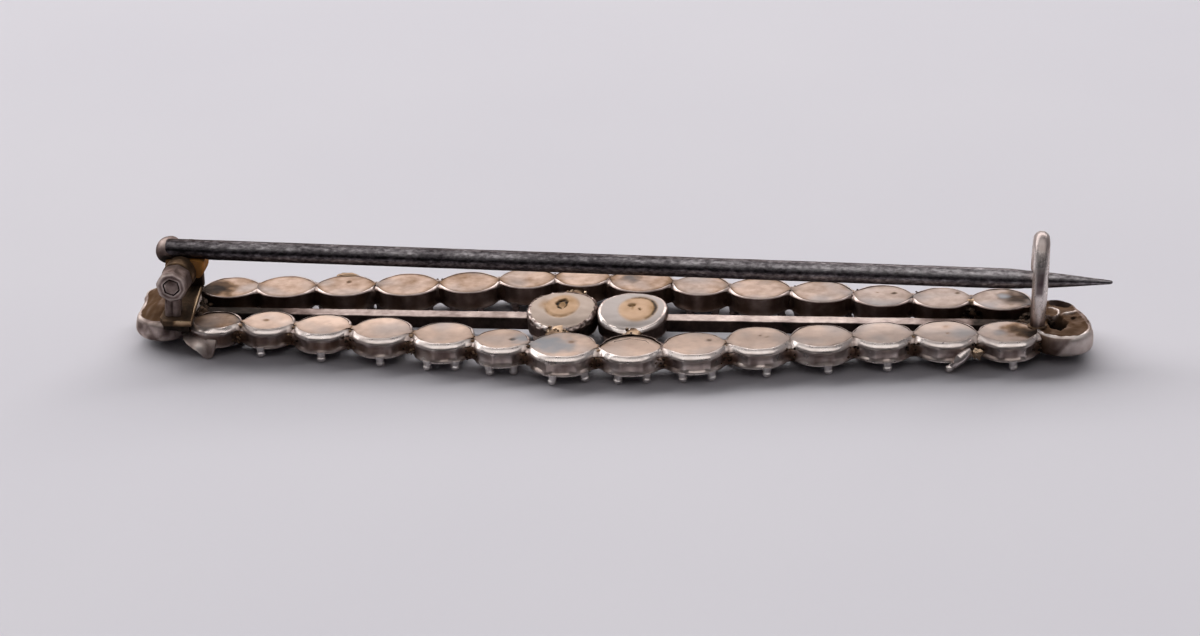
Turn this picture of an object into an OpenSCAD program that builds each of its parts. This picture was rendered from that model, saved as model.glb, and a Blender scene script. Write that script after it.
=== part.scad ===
// Openwork navette brooch, lying face down: two arched rows of closed-back collets, a centre pair,
// a middle bar, and a hinged pin with its catch on the back.
// Lengths in mm. X runs along the brooch, +Y to the back row, +Z up out of the back of the brooch.
// The origin is on the surface it lies on, under the middle of the metalwork.

/* [Rows] */
// Distance of each row from the middle line, far out towards the ends
row_spread_end = 1.7; // [1.6:0.05:1.9]
// What the rows arch out further at the middle of the brooch
row_arch = 3.1; // [2.8:0.1:3.4]
// Distance along at which half of that arch is left
arch_reach = 9; // [8.5:0.1:9.5]

/* [Collets] */
// Height of the front lip over the surface
lip_z = 0.45; // [0.4:0.01:0.5]
// Height of the back rim over the surface
back_z = 1.5; // [1.45:0.01:1.6]
// Thickness of a collet's wall
wall = 0.32; // [0.28:0.01:0.36]
// Rim that stands round the back plate
rim_w = 0.26; // [0.2:0.01:0.3]
// Rounding of the back rim
bevel = 0.13; // [0.08:0.01:0.16]
// Depth of the back plate under its rim
plate_sunk = 0.05; // [0.03:0.01:0.08]
// Thickness of the closed back
back_t = 0.28; // [0.24:0.01:0.32]
// Height of the thin lip that holds the stone
lip_h = 0.22; // [0.15:0.01:0.3]
// What the thin lip stands back from the wall
lip_step = 0.07; // [0.04:0.01:0.1]

/* [Claws] */
// Radius of a claw
claw_r = 0.165; // [0.15:0.005:0.165]
// Radius of the rounded claw end
claw_end_r = 0.21; // [0.19:0.01:0.22]
// Distance of a claw's middle from the outside of its collet
claw_in = 0.17; // [0.17:0.005:0.175]
// Half the angle between the two claws of a pair
claw_pair_half = 29; // [25:1:33]

/* [Centre] */
// Width of each centre collet along the brooch
centre_w = 3.7; // [3.64:0.02:3.76]
// Length of each centre collet across the brooch
centre_l = 4.25; // [4.1:0.05:4.4]
// Height of their backs over the surface
centre_z = 1.62; // [1.55:0.01:1.7]
// Middle of the pair along the brooch
centre_x = -0.68; // [-0.75:0.01:-0.6]

/* [Bar] */
// Width of the bar's flat back
bar_w = 0.85; // [0.7:0.05:1]
// Width of its knife edge at the front
bar_edge_w = 0.3; // [0.2:0.05:0.4]
// Height of the bar's back over the surface
bar_z = 1.12; // [1:0.02:1.2]

/* [Hinge] */
// Place of the hinge's rivet along the brooch
hinge_x = -22.62; // [-22.8:0.01:-22.5]
// Height of the rivet over the surface
hinge_z = 3.55; // [3.5:0.01:3.6]
// Outer radius of the tubes round the rivet
tube_r = 0.84; // [0.8:0.01:0.86]
// Radius of the rivet
rivet_r = 0.42; // [0.38:0.01:0.44]
// Top of the hinge's base plate over the surface
base_z = 1.9; // [1.85:0.01:1.92]

/* [Pin] */
// Radius of the steel stem
stem_r = 0.5; // [0.45:0.01:0.5]
// Height of the stem's middle line over the rivet
stem_rise = 0.98; // [0.96:0.01:1]
// How far the stem falls towards its point, in degrees
stem_fall = 1.35; // [1.2:0.05:1.5]
// Place of the point along the brooch
point_x = 25.85; // [25.5:0.05:26]

/* [Catch] */
// Radius of the catch's wire
catch_r = 0.42; // [0.38:0.01:0.44]
// Radius of the catch's arch, at the middle of the wire
arch_r = 1.4; // [1.36:0.01:1.44]
// Height of the arch's middle over the surface
arch_z = 4.22; // [4.1:0.02:4.3]
// Place of the catch along the brooch
catch_x = 22.05; // [21.95:0.05:22.15]
// How far the catch leans towards the point, in degrees
catch_lean = 2.4; // [0:0.2:3]

/* [Hidden] */
$fn = 48;
TINY = 0.01;
seat_gap = 0.01;
FRONT = -1;
BACK = 1;

// Each table is one row of the brooch, a line for each collet from left to right.
// Columns: place along, what it stands out from the arch, diameter, claws, turn of its claws in degrees
ALONG = 0;
OUTSET = 1;
DIAMETER = 2;
CLAWS = 3;
TURN = 4;
FRONT_ROW = [
    [-23.5, -0.8, 3.1, 2, 0],
    [-20.55, 0.1, 2.75, 3, -10],
    [-17.75, -0.1, 2.85, 3, -11],
    [-14.8, 0.1, 3.1, 3, 5],
    [-11.6, 0.15, 3.25, 3, 3],
    [-8.3, 0.15, 3.3, 4, 2],
    [-5.2, 0.1, 2.95, 4, 5],
    [-1.95, 0.1, 3.6, 4, 16],
    [1.5, 0, 3.3, 4, 9],
    [4.7, 0.2, 3.35, 4, 10],
    [7.9, 0.05, 3.35, 3, 20],
    [11.1, 0.1, 3.3, 3, 16],
    [14.2, -0.05, 3.2, 3, 12],
    [17.4, -0.1, 3.3, 3, 9],
    [20.55, -0.05, 3.2, 3, 10],
    [23.35, -0.75, 3.1, 2, 0]
];
BACK_ROW = [
    [-23.75, -0.8, 3, 3, 30],
    [-20.75, 0.25, 3.2, 3, -20],
    [-17.8, 0.35, 3.3, 3, 0],
    [-14.6, 0.4, 3.25, 3, 8],
    [-11.3, 0.3, 3.45, 3, -6],
    [-8, 0.2, 3.3, 4, 0],
    [-4.95, 0.25, 3.15, 4, 6],
    [-2, 0, 3.1, 4, -4],
    [1.2, -0.5, 3.55, 4, 0],
    [4.45, -0.45, 3.15, 4, 8],
    [7.6, -0.1, 3.35, 3, -10],
    [10.9, 0.15, 3.35, 3, 6],
    [14.1, 0.05, 3.25, 3, 0],
    [17.2, 0.1, 3.15, 3, 10],
    [20.3, 0.2, 3.25, 3, 0],
    [23.1, -0.9, 2.8, 3, -30]
];
ROWS = [[FRONT, FRONT_ROW], [BACK, BACK_ROW]];

// Stones
stone_play = 0.03;
girdle_z = 0.55;
girdle_h = 0.05;
table_z = 0.22;
table_share = 0.56;
culet_z = 1.14;
culet_share = 0.12;
half_facet = 22.5;
seat_z = 0.7;
seat_w = 0.15;

// The centre pair
centre_wall = 0.36;
face_sunk = 0.06;
face_ring_w = 0.62;
pit_r = 0.2;
CENTRE_XS = [centre_x - centre_w / 2 - 0.01, centre_x + centre_w / 2 - 0.02];
centre_claw_x = 1.25;
centre_claw_y = 1.3;

// Solder between neighbours: its radius, and the height that it fills
solder_r = 0.36;
solder_low_z = 0.62;
solder_high_z = 1.4;

// Ties from the centre pair to the rows. Columns: place along, side, width, place across where it ends
TIES = [[-2.55, FRONT, 1.5, 3.5], [1.4, FRONT, 1, 3.7], [-2.1, BACK, 1, 3.6], [0.85, BACK, 1.3, 3]];
tie_from = 1.2;
tie_low_z = 0.7;
tie_high_z = 1.36;

// The hinge
running_gap = 0.05;
tight_gap = 0.02;
near_tube_y = [-2.9, -1.62];
barrel_y = [-1.56, 1.38];
ear_y = [1.44, 1.94];
post_w = 0.75;
post_x = hinge_x - 0.12;
base_under_z = 1.34;
mouth_r = rivet_r + 0.14;
mouth_h = 0.12;

// The pin
lump_r = 0.7;
lump_x = hinge_x - 0.78;
lump_z = hinge_z + 0.84;
lump_y = [0.15, 1.15];
LUMP_NECK = [[-1.2, 0.3], [-0.3, 1.3], [0.3, 0.7], [-0.6, -0.2]];
seat_rise = 0.66;
stem_root_x = hinge_x - 1.03;
flat_end_x = hinge_x + 1.37;
catch_stem_r = 0.44;
taper_x = catch_x - 1.4;
point_r = 0.09;

// The catch
arch_y = 0.15;
foot_y = arch_y - arch_r;
foot_sunk = 0.4;
hook_low = -25;

// The ends
end_web_x = 21.2;
end_web_l = 2.2;
end_web_w = 2.4;
end_web_sunk = 0.12;

// Open pockets in the back of the right end. Columns: place along, place across, radius, depth
END_POCKETS = [[23.5, -1.3, 0.6, 0.25], [23.35, 1.3, 0.5, 0.25], [24.75, 0.3, 0.3, 0.5]];

function arch_across(x) = row_spread_end + row_arch / (1 + pow(x / arch_reach, 2));
function along(row, i) = row[1][i][ALONG];
function turn(row, i) = row[1][i][TURN];
function across(row, i) = row[0] * (arch_across(along(row, i)) + row[1][i][OUTSET]);
function radius(row, i) = row[1][i][DIAMETER] / 2;
function number(i) = str(i < 9 ? "0" : "", i + 1);

COUNT = len(FRONT_ROW);

module at_collet(row, i) {
    translate([along(row, i), across(row, i), 0]) children();
}

// A closed-back collet as a solid body, its hollow is taken out later
module collet_body(r) {
    plate_r = r - rim_w;
    rotate_extrude() polygon([
        [0, lip_z],
        [r - lip_step, lip_z],
        [r - lip_step, lip_z + lip_h],
        [r, lip_z + lip_h + lip_step],
        [r, back_z - bevel],
        [r - bevel / 3, back_z - bevel / 3],
        [r - bevel, back_z],
        [plate_r, back_z],
        [plate_r, back_z - plate_sunk],
        [0, back_z - plate_sunk]
    ]);
}

// The cup for the stone: wide at the mouth, narrower behind the seat that the stone lies on
module collet_hollow(r) {
    translate([0, 0, lip_z - 1]) cylinder(h = 1 + seat_z - lip_z, r = r - wall);
    cylinder(h = back_z - back_t, r = r - wall - seat_w);
}

// A claw at an angle from the outer side of its collet, with its rounded end on the surface
module claw(r, side, angle) {
    rotate(side * 90 + angle) translate([r - claw_in, 0, 0]) rotate_extrude($fn = 24) polygon([
        [0, 0],
        [claw_end_r * 0.5, claw_end_r * 0.14],
        [claw_end_r * 0.87, claw_end_r * 0.5],
        [claw_end_r, claw_end_r],
        [claw_r, 0.4],
        [claw_r, 0.85],
        [0, 0.95]
    ]);
}

module collet_claws(row, i) {
    r = radius(row, i);
    count = row[1][i][CLAWS];
    angles = count == 4
        ? [-claw_pair_half, claw_pair_half, 180 - claw_pair_half, 180 + claw_pair_half]
        : count == 3 ? [0, 120, 240] : [130, 230];
    at_collet(row, i) for (a = angles) claw(r, row[0], a + turn(row, i));
}

module solder_between(row, i) {
    r = radius(row, i);
    share = r / (r + radius(row, i + 1));
    x = along(row, i) + share * (along(row, i + 1) - along(row, i));
    y = across(row, i) + share * (across(row, i + 1) - across(row, i));
    translate([x, y, solder_low_z]) cylinder(h = solder_high_z - solder_low_z, r = solder_r);
}

// An oval made of two round ends and straight sides
module oval(w, l) {
    union() {
        translate([0, (l - w) / 2]) circle(d = w);
        translate([0, (w - l) / 2]) circle(d = w);
        square([w, l - w], center = true);
    }
}

module centre_body() {
    translate([0, 0, lip_z]) linear_extrude(centre_z - lip_z - bevel) oval(centre_w, centre_l);
    translate([0, 0, lip_z]) linear_extrude(centre_z - lip_z) oval(centre_w - 2 * bevel, centre_l - 2 * bevel);
}

module centre_hollow() {
    inner_w = centre_w - 2 * centre_wall;
    inner_l = centre_l - 2 * centre_wall;
    translate([0, 0, lip_z - 1]) linear_extrude(1 + seat_z - lip_z) oval(inner_w, inner_l);
    linear_extrude(centre_z - back_t - face_sunk) oval(inner_w - 2 * seat_w, inner_l - 2 * seat_w);
    translate([0, 0, centre_z - face_sunk]) linear_extrude(1)
        oval(centre_w - 2 * face_ring_w, centre_l - 2 * face_ring_w);
    translate([0, 0, centre_z - 2 * face_sunk]) cylinder(h = 1, r = pit_r);
}

module centre_claws() {
    for (sx = [-1, 1], sy = [-1, 1]) {
        angle = atan2(sy * centre_claw_y, sx * centre_claw_x);
        translate([0, sy * (centre_l - centre_w) / 2, 0]) claw(centre_w / 2, 0, angle);
    }
}

// One straight stretch of the bar: a flat back that narrows to an edge at the front
module bar(from_x, to_x) {
    translate([from_x, 0, 0]) rotate([90, 0, 90]) linear_extrude(to_x - from_x) polygon([
        [-bar_edge_w / 2, lip_z],
        [bar_edge_w / 2, lip_z],
        [bar_w / 2, bar_z - 0.2],
        [bar_w / 2, bar_z],
        [-bar_w / 2, bar_z],
        [-bar_w / 2, bar_z - 0.2]
    ]);
}

module ties() {
    for (t = TIES) {
        length = t[3] - tie_from;
        translate([t[0] - t[2] / 2, t[1] * (tie_from + length / 2) - length / 2, tie_low_z])
            cube([t[2], length, tie_high_z - tie_low_z]);
    }
}

// Metal between the two end collets and the bar
module end_webs() {
    for (side = [-1, 1]) {
        translate([side * (end_web_x + end_web_l / 2), 0, (lip_z + back_z) / 2])
            cube([end_web_l, end_web_w, back_z - lip_z - 2 * end_web_sunk], center = true);
    }
}

// The plate under the hinge: its left side slopes down over the end, its right edge is cut askew
module hinge_base() {
    intersection() {
        translate([0, 3, 0]) rotate([90, 0, 0]) linear_extrude(6.5) polygon([
            [hinge_x - 2.5, base_under_z],
            [hinge_x - 2.5, back_z],
            [hinge_x - 1.1, base_z],
            [hinge_x + 1.1, base_z],
            [hinge_x + 1.1, base_under_z]
        ]);
        translate([0, 0, base_under_z]) linear_extrude(1) polygon([
            [hinge_x - 2.25, -1.7],
            [hinge_x - 1.3, -2.8],
            [hinge_x - 0.6, -3.5],
            [hinge_x + 1.04, -3.5],
            [hinge_x + 0.35, 2.7],
            [hinge_x - 1.2, 2.7],
            [hinge_x - 2.1, 2.1],
            [hinge_x - 2.45, 1.2]
        ]);
    }
}

module along_y(y_span) {
    translate([hinge_x, y_span[1], hinge_z]) rotate([90, 0, 0]) linear_extrude(y_span[1] - y_span[0]) children();
}

// The near tube on its post, and the ear that holds the rivet's far end
module hinge_ears() {
    along_y(near_tube_y) {
        circle(r = tube_r);
    }
    translate([post_x - post_w / 2, near_tube_y[0] + 0.1, base_z - 0.1])
        cube([post_w, near_tube_y[1] - near_tube_y[0] - 0.2, hinge_z - base_z - 0.4]);
    along_y(ear_y) {
        circle(r = tube_r);
        translate([-tube_r, base_z - hinge_z - 0.1]) square([2 * tube_r, hinge_z - base_z + 0.1]);
    }
}

module hinge_holes() {
    along_y([near_tube_y[0] - 1, ear_y[1] + 1]) circle(r = rivet_r + tight_gap);
    translate([hinge_x, near_tube_y[0] + mouth_h, hinge_z]) rotate([90, 0, 0])
        cylinder(h = 1, r = mouth_r);
}

module catch_wire() {
    rise = arch_z - back_z;
    translate([catch_x, 0, back_z]) rotate([0, catch_lean, 0]) {
        translate([0, foot_y, -foot_sunk]) cylinder(h = rise + foot_sunk, r = catch_r);
        translate([0, arch_y, rise]) rotate([90, 0, -90])
            rotate_extrude(angle = 180 - hook_low) translate([arch_r, 0]) circle(r = catch_r);
        translate([0, arch_y + arch_r * cos(hook_low), rise + arch_r * sin(hook_low)]) sphere(r = catch_r);
    }
}

module end_pockets() {
    for (p = END_POCKETS) translate([p[0], p[1], back_z - p[3]]) cylinder(h = 1, r = p[2]);
}

module frame() {
    color([0.66, 0.6, 0.55]) union() {
        difference() {
            union() {
                for (row = ROWS, i = [0 : COUNT - 1]) at_collet(row, i) collet_body(radius(row, i));
                for (row = ROWS, i = [0 : COUNT - 2]) solder_between(row, i);
                for (x = CENTRE_XS) translate([x, 0, 0]) centre_body();
                bar(-end_web_x - 0.5, CENTRE_XS[0] - centre_w / 2 + 0.2);
                bar(CENTRE_XS[1] + centre_w / 2 - 0.2, end_web_x + 0.5);
                ties();
                end_webs();
                hinge_base();
                hinge_ears();
            }
            for (row = ROWS, i = [0 : COUNT - 1]) at_collet(row, i) collet_hollow(radius(row, i));
            for (x = CENTRE_XS) translate([x, 0, 0]) centre_hollow();
            hinge_holes();
            end_pockets();
        }
        for (row = ROWS, i = [0 : COUNT - 1]) collet_claws(row, i);
        for (x = CENTRE_XS) translate([x, 0, 0]) centre_claws();
        catch_wire();
    }
}

module hinge_rivet() {
    color([0.78, 0.75, 0.74]) along_y([near_tube_y[0] + 0.06, ear_y[1]]) circle(r = rivet_r);
}

// The brass barrel that turns on the rivet, with the lump at its back that stops the open pin
module pin_barrel() {
    color([0.62, 0.46, 0.26]) difference() {
        union() {
            along_y(barrel_y) circle(r = tube_r);
            translate([lump_x - hinge_x, 0, lump_z - hinge_z]) along_y(lump_y) circle(r = lump_r);
            along_y(lump_y) polygon(LUMP_NECK);
        }
        along_y([barrel_y[0] - 1, barrel_y[1] + 1]) circle(r = rivet_r + running_gap);
        stem_seat();
    }
}

// Places its children on the stem's middle line, with +Z towards the point, from a place along the brooch
module on_stem(from_x) {
    translate([hinge_x, 0, hinge_z + stem_rise]) rotate([0, 90 + stem_fall, 0])
        translate([0, 0, from_x - hinge_x]) children();
}

// What the stem's root takes out of the barrel, with a small gap all round
module stem_seat() {
    intersection() {
        on_stem(stem_root_x - seat_gap) cylinder(h = 6, r = stem_r + seat_gap);
        translate([hinge_x - 3, -3, hinge_z + seat_rise - seat_gap]) cube([8, 6, 3]);
    }
}

// Steel stem: round, with a tapered point, and flattened under its root where it lies on the barrel
module pin_stem() {
    point_l = (point_x - taper_x) / cos(stem_fall);
    color([0.4, 0.38, 0.39]) difference() {
        union() {
            on_stem(stem_root_x) cylinder(h = taper_x - stem_root_x + TINY, r = stem_r);
            on_stem(taper_x) rotate_extrude() polygon([
                [0, 0],
                [stem_r, 0],
                [catch_stem_r, 0.8],
                [catch_stem_r * 0.86, 2],
                [point_r, point_l - 0.08],
                [point_r / 2, point_l],
                [0, point_l]
            ]);
        }
        translate([hinge_x - 3, -3, hinge_z + seat_rise - 3]) cube([3 + flat_end_x - hinge_x, 6, 3]);
    }
}

// Eight flat sides all round, from the small culet above to the table below
module facets(r, angle, crown_share) {
    rotate(angle) rotate_extrude($fn = 8) polygon([
        [0, table_z],
        [r * crown_share, table_z],
        [r, girdle_z],
        [r, girdle_z + girdle_h],
        [r * culet_share, culet_z],
        [0, culet_z]
    ]);
}

// A cut stone, face down: a table, sixteen crown facets, a girdle and sixteen pavilion facets
module stone(r) {
    corner_r = r * cos(half_facet / 2) / cos(half_facet);
    color([0.86, 0.9, 0.95]) intersection() {
        facets(corner_r, 0, table_share);
        facets(corner_r, half_facet, table_share + 0.1);
    }
}

module row_stone(row, i) {
    at_collet(row, i) stone(radius(row, i) - wall - stone_play);
}

module centre_stone(x) {
    w = centre_w / 2 - centre_wall - stone_play;
    l = centre_l / 2 - centre_wall - stone_play;
    translate([x, 0, 0]) scale([1, l / w, 1]) stone(w);
}

frame();
hinge_rivet();
pin_barrel();
pin_stem();
centre_stone(CENTRE_XS[0]);  // centre_stone_left
centre_stone(CENTRE_XS[1]);  // centre_stone_right
for (i = [0 : COUNT - 1]) {
    row_stone(ROWS[0], i);
    row_stone(ROWS[1], i);
}
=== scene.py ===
"""Looks of an openwork navette brooch that lies face down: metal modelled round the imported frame."""
import random
from math import atan2, cos, degrees, exp, hypot, pi, radians, sin, sqrt, tan, tanh

import bpy
import bmesh
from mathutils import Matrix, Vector, noise

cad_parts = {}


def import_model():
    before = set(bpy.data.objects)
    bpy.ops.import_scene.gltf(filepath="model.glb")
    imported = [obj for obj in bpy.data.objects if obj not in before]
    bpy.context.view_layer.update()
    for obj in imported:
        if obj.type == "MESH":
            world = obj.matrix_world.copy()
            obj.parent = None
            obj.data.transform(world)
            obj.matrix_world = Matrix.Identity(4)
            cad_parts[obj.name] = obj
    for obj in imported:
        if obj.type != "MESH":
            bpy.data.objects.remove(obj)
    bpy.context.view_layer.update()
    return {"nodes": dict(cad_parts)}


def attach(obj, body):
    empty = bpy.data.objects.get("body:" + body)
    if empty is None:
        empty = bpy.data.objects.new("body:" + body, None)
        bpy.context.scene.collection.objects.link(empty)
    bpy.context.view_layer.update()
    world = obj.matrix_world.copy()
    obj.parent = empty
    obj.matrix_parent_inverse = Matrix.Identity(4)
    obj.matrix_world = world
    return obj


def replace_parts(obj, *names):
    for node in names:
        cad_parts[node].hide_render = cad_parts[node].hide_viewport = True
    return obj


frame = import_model()

MM = 0.001
TAU = 2 * pi
ROOT = "brooch"
PIN = "pin"
rng = random.Random(4)

# camera: its place in mm and its turns in degrees
CAMERA_AT = (16.93, -145.95, 63.4)
CAMERA_YAW, CAMERA_DOWN, CAMERA_ROLL = 6.841, 23.0, -1.768
CAMERA_LENS, CAMERA_SENSOR = 91.5, 36
# light: places and sizes in metres, powers in watts
WORLD_STRENGTH = 0.47
WINDOW_AT, WINDOW_SIZE, WINDOW_COLOUR = (-0.28, 0.727, 0.5), (2.1, 0.42), (1.0, 0.985, 0.985)
STRIP_AT, STRIP_SIZE, STRIP_COLOUR = (0.0, -0.12, 0.87), (1.8, 0.86), (1.0, 0.985, 0.97)
WINDOW_POWER, GLOW_POWER, STRIP_POWER = 10.4, 16.0, 5.0
FLOOR_HALF = 1.2
# the surroundings by height: a pale backdrop behind, and in front a dark room under a pale ceiling
BEHIND_STOPS = [
    (0.0, (0.6, 0.59, 0.62)), (0.45, (0.6, 0.59, 0.62)), (0.75, (0.36, 0.35, 0.37)), (1.0, (0.4, 0.39, 0.4))]
FRONT_STOPS = [
    (0.0, (0.03, 0.027, 0.03)), (0.42, (0.035, 0.032, 0.035)), (0.56, (0.2, 0.195, 0.2)),
    (0.72, (0.3, 0.29, 0.3)), (0.88, (0.5, 0.49, 0.5)), (0.94, (0.55, 0.54, 0.55)), (1.0, (0.4, 0.39, 0.4))]


def camera():
    """The camera fitted to the photo."""
    data = bpy.data.cameras.new("camera")
    data.sensor_width = CAMERA_SENSOR
    data.sensor_fit = "HORIZONTAL"
    data.lens = CAMERA_LENS
    data.clip_start = 0.005
    data.clip_end = 10
    obj = bpy.data.objects.new("camera", data)
    bpy.context.scene.collection.objects.link(obj)
    a, e, r = (radians(v) for v in (CAMERA_YAW, CAMERA_DOWN, CAMERA_ROLL))
    forward = Vector((-sin(a) * cos(e), cos(a) * cos(e), -sin(e)))
    right = Vector((cos(a), sin(a), 0))
    up = right.cross(forward)
    right, up = right * cos(r) + up * sin(r), up * cos(r) - right * sin(r)
    m = obj.matrix_world.copy()
    for k in range(3):
        m[k][0], m[k][1], m[k][2], m[k][3] = right[k], up[k], -forward[k], CAMERA_AT[k] * MM
    obj.matrix_world = m
    bpy.context.scene.camera = obj


def area_light(name, at, size, power, colour):
    """A rectangular light that looks at the brooch."""
    data = bpy.data.lights.new(name, "AREA")
    data.shape = "RECTANGLE"
    data.size, data.size_y = size
    data.energy = power
    data.color = colour
    obj = bpy.data.objects.new(name, data)
    obj.location = at
    obj.rotation_euler = (Vector((0, 0, 0)) - Vector(at)).to_track_quat("-Z", "Y").to_euler()
    bpy.context.scene.collection.objects.link(obj)
    return obj


def world():
    """The room that the metal mirrors."""
    w = bpy.data.worlds.new("studio")
    bpy.context.scene.world = w
    w.use_nodes = True
    nt = w.node_tree
    nt.nodes.clear()
    height = node(nt, "SeparateXYZ", {0: node(nt, "TexCoord", {}, "Generated")}, "Z")
    away = range_node(nt, height.node.outputs["Y"], -0.5, 0.2, 0.0, 1.0)
    colour = mix_node(nt, away, ramp_node(nt, height, FRONT_STOPS), ramp_node(nt, height, BEHIND_STOPS))
    node(nt, "OutputWorld", {0: node(nt, "Background", {"Color": colour, "Strength": WORLD_STRENGTH})})


# material nodes: noise scales per metre, and how far the finest relief reaches in metres
WIDE_SCALE, FINE_SCALE, STONE_SCALE, FLOOR_SCALE, RELIEF = 900, 2600, 2000, 30, 0.00003


def node(nt, kind, inputs, out=0, **settings):
    """An output of a new node, with its settings made and its inputs set, or linked to other outputs."""
    n = nt.nodes.new("ShaderNode" + kind)
    for key, value in settings.items():
        setattr(n, key, value)
    for key, value in inputs.items():
        if isinstance(value, bpy.types.NodeSocket):
            nt.links.new(value, n.inputs[key])
        else:
            n.inputs[key].default_value = value
    return n.outputs[out] if n.outputs else n


def ramp_node(nt, value, stops):
    """The colour of a value on a ramp of stops: (place, (r, g, b))."""
    found = node(nt, "ValToRGB", {0: value})
    elements = found.node.color_ramp.elements
    while len(elements) < len(stops):
        elements.new(0.5)
    for element, (at, colour) in zip(elements, stops):
        element.position = at
        element.color = (*colour, 1)
    return found


def noise_node(nt, coord, scale, detail=3.0, rough=0.55, stretch=None):
    """Noise of that scale, drawn out along the axes if stretch is given."""
    if stretch:
        coord = node(nt, "Mapping", {"Vector": coord, "Scale": stretch})
    return node(nt, "TexNoise", {"Vector": coord, "Scale": scale, "Detail": detail, "Roughness": rough})


def math_node(nt, op, a, b, clamped=False):
    """A sum, difference or product of two values."""
    return node(nt, "Math", {0: a, 1: b}, operation=op, use_clamp=clamped)


def mix_node(nt, share, a, b):
    """Colour a, with that share of colour b in it."""
    return node(nt, "Mix", {"Factor": share, 6: a, 7: b}, 2, data_type="RGBA")


def range_node(nt, value, low, high, to_low, to_high):
    """A value carried over from one range to another."""
    ends = {"From Min": low, "From Max": high, "To Min": to_low, "To Max": to_high}
    return node(nt, "MapRange", {"Value": value, **ends})


def new_material(name, shade):
    """A material whose shader's inputs are given by shade(node tree, the object's own coordinates)."""
    m = bpy.data.materials.new(name)
    m.use_nodes = True
    nt = m.node_tree
    nt.nodes.clear()
    coord = node(nt, "TexCoord", {}, "Object")
    node(nt, "OutputMaterial", {0: node(nt, "BsdfPrincipled", shade(nt, coord))})
    return m


def metal(name, stops, rough, rough_dirty, spread, bump, metallic, patch=None, grain=FINE_SCALE,
          fine_share=0.35, stretch=None):
    """Old metal, coloured from clean to tarnished by the tarnish and painted light and shade stored on the
    mesh, and some noise.
    """
    def shade(nt, coord):
        wide = noise_node(nt, coord, WIDE_SCALE, 4, 0.6, stretch)
        fine = noise_node(nt, coord, grain, 3, 0.6, stretch)
        both = math_node(nt, "ADD", math_node(nt, "MULTIPLY", wide, 1 - fine_share),
                         math_node(nt, "MULTIPLY", fine, fine_share))
        shift = math_node(nt, "MULTIPLY", math_node(nt, "SUBTRACT", both, 0.5), spread)
        grime_and_shade = node(nt, "Attribute", {}, "Fac", attribute_name="grime_and_shade")
        tarnish = math_node(nt, "ADD", grime_and_shade, shift, clamped=True)
        colour = ramp_node(nt, tarnish, stops)
        uneven = math_node(nt, "MULTIPLY", math_node(nt, "SUBTRACT", fine, 0.5), 0.25)
        roughness = math_node(nt, "ADD", range_node(nt, tarnish, 0.1, 0.8, rough, rough_dirty), uneven)
        if patch:
            where = node(nt, "Attribute", {}, "Fac", attribute_name="patch")
            colour = mix_node(nt, where, colour, (*patch, 1))
            roughness = math_node(nt, "ADD", roughness, math_node(nt, "MULTIPLY", where, 0.2))
        relief = node(nt, "Bump", {"Strength": bump, "Distance": RELIEF, "Height": both})
        return {"Base Color": colour, "Roughness": roughness, "Normal": relief, "Metallic": metallic,
                "Specular IOR Level": 0.12, "Specular Tint": (0.62, 0.56, 0.52, 1)}

    return new_material(name, shade)


SILVER_STOPS = [(0.0, (0.78, 0.71, 0.675)), (0.3, (0.56, 0.465, 0.425)), (0.5, (0.295, 0.228, 0.208)),
                (0.72, (0.12, 0.083, 0.073)), (1.0, (0.022, 0.018, 0.016))]
# a near-white first stop for the claws: painted light
CLAW_PAINTED_LIGHT_STOPS = [(0.0, (0.98, 0.93, 0.91))] + SILVER_STOPS[1:]
GOLD_STOPS = [(0.0, (0.79, 0.6, 0.49)), (0.35, (0.55, 0.4, 0.32)), (0.55, (0.27, 0.165, 0.1)),
              (0.75, (0.12, 0.07, 0.042)), (1.0, (0.03, 0.022, 0.018))]
FACE_STOPS = [(0.0, (0.45, 0.3, 0.195)), (0.35, (0.35, 0.22, 0.12)), (0.55, (0.2, 0.115, 0.05)),
              (0.75, (0.075, 0.045, 0.024)), (1.0, (0.02, 0.016, 0.013))]
SOLDER_STOPS = [(0.0, (0.6, 0.46, 0.33)), (0.3, (0.32, 0.22, 0.145)), (0.55, (0.15, 0.093, 0.058)),
                (0.8, (0.05, 0.033, 0.024)), (1.0, (0.012, 0.01, 0.009))]
BRASS_STOPS = [(0.0, (0.58, 0.42, 0.27)), (0.35, (0.34, 0.22, 0.13)), (0.6, (0.13, 0.082, 0.05)),
               (1.0, (0.02, 0.016, 0.014))]
STEEL_STOPS = [(0.0, (0.62, 0.59, 0.6)), (0.25, (0.4, 0.375, 0.385)), (0.5, (0.17, 0.155, 0.162)),
               (0.75, (0.06, 0.052, 0.057)), (1.0, (0.01, 0.009, 0.01))]


def clear_stone(nt, coord):
    """The stones, seen only where light comes through them."""
    cloudy = range_node(nt, noise_node(nt, coord, STONE_SCALE), 0.3, 0.7, 0.0, 0.04)
    return {"Base Color": (1, 1, 1, 1), "Transmission Weight": 1.0, "IOR": 2.2, "Roughness": cloudy}


def pale_floor(nt, coord):
    """The matt pale ground under the brooch."""
    stops = [(0.3, (0.655, 0.64, 0.68)), (0.7, (0.675, 0.66, 0.695))]
    tint = ramp_node(nt, noise_node(nt, coord, FLOOR_SCALE, 2), stops)
    return {"Base Color": tint, "Roughness": 0.75, "Specular IOR Level": 0.0}


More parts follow.
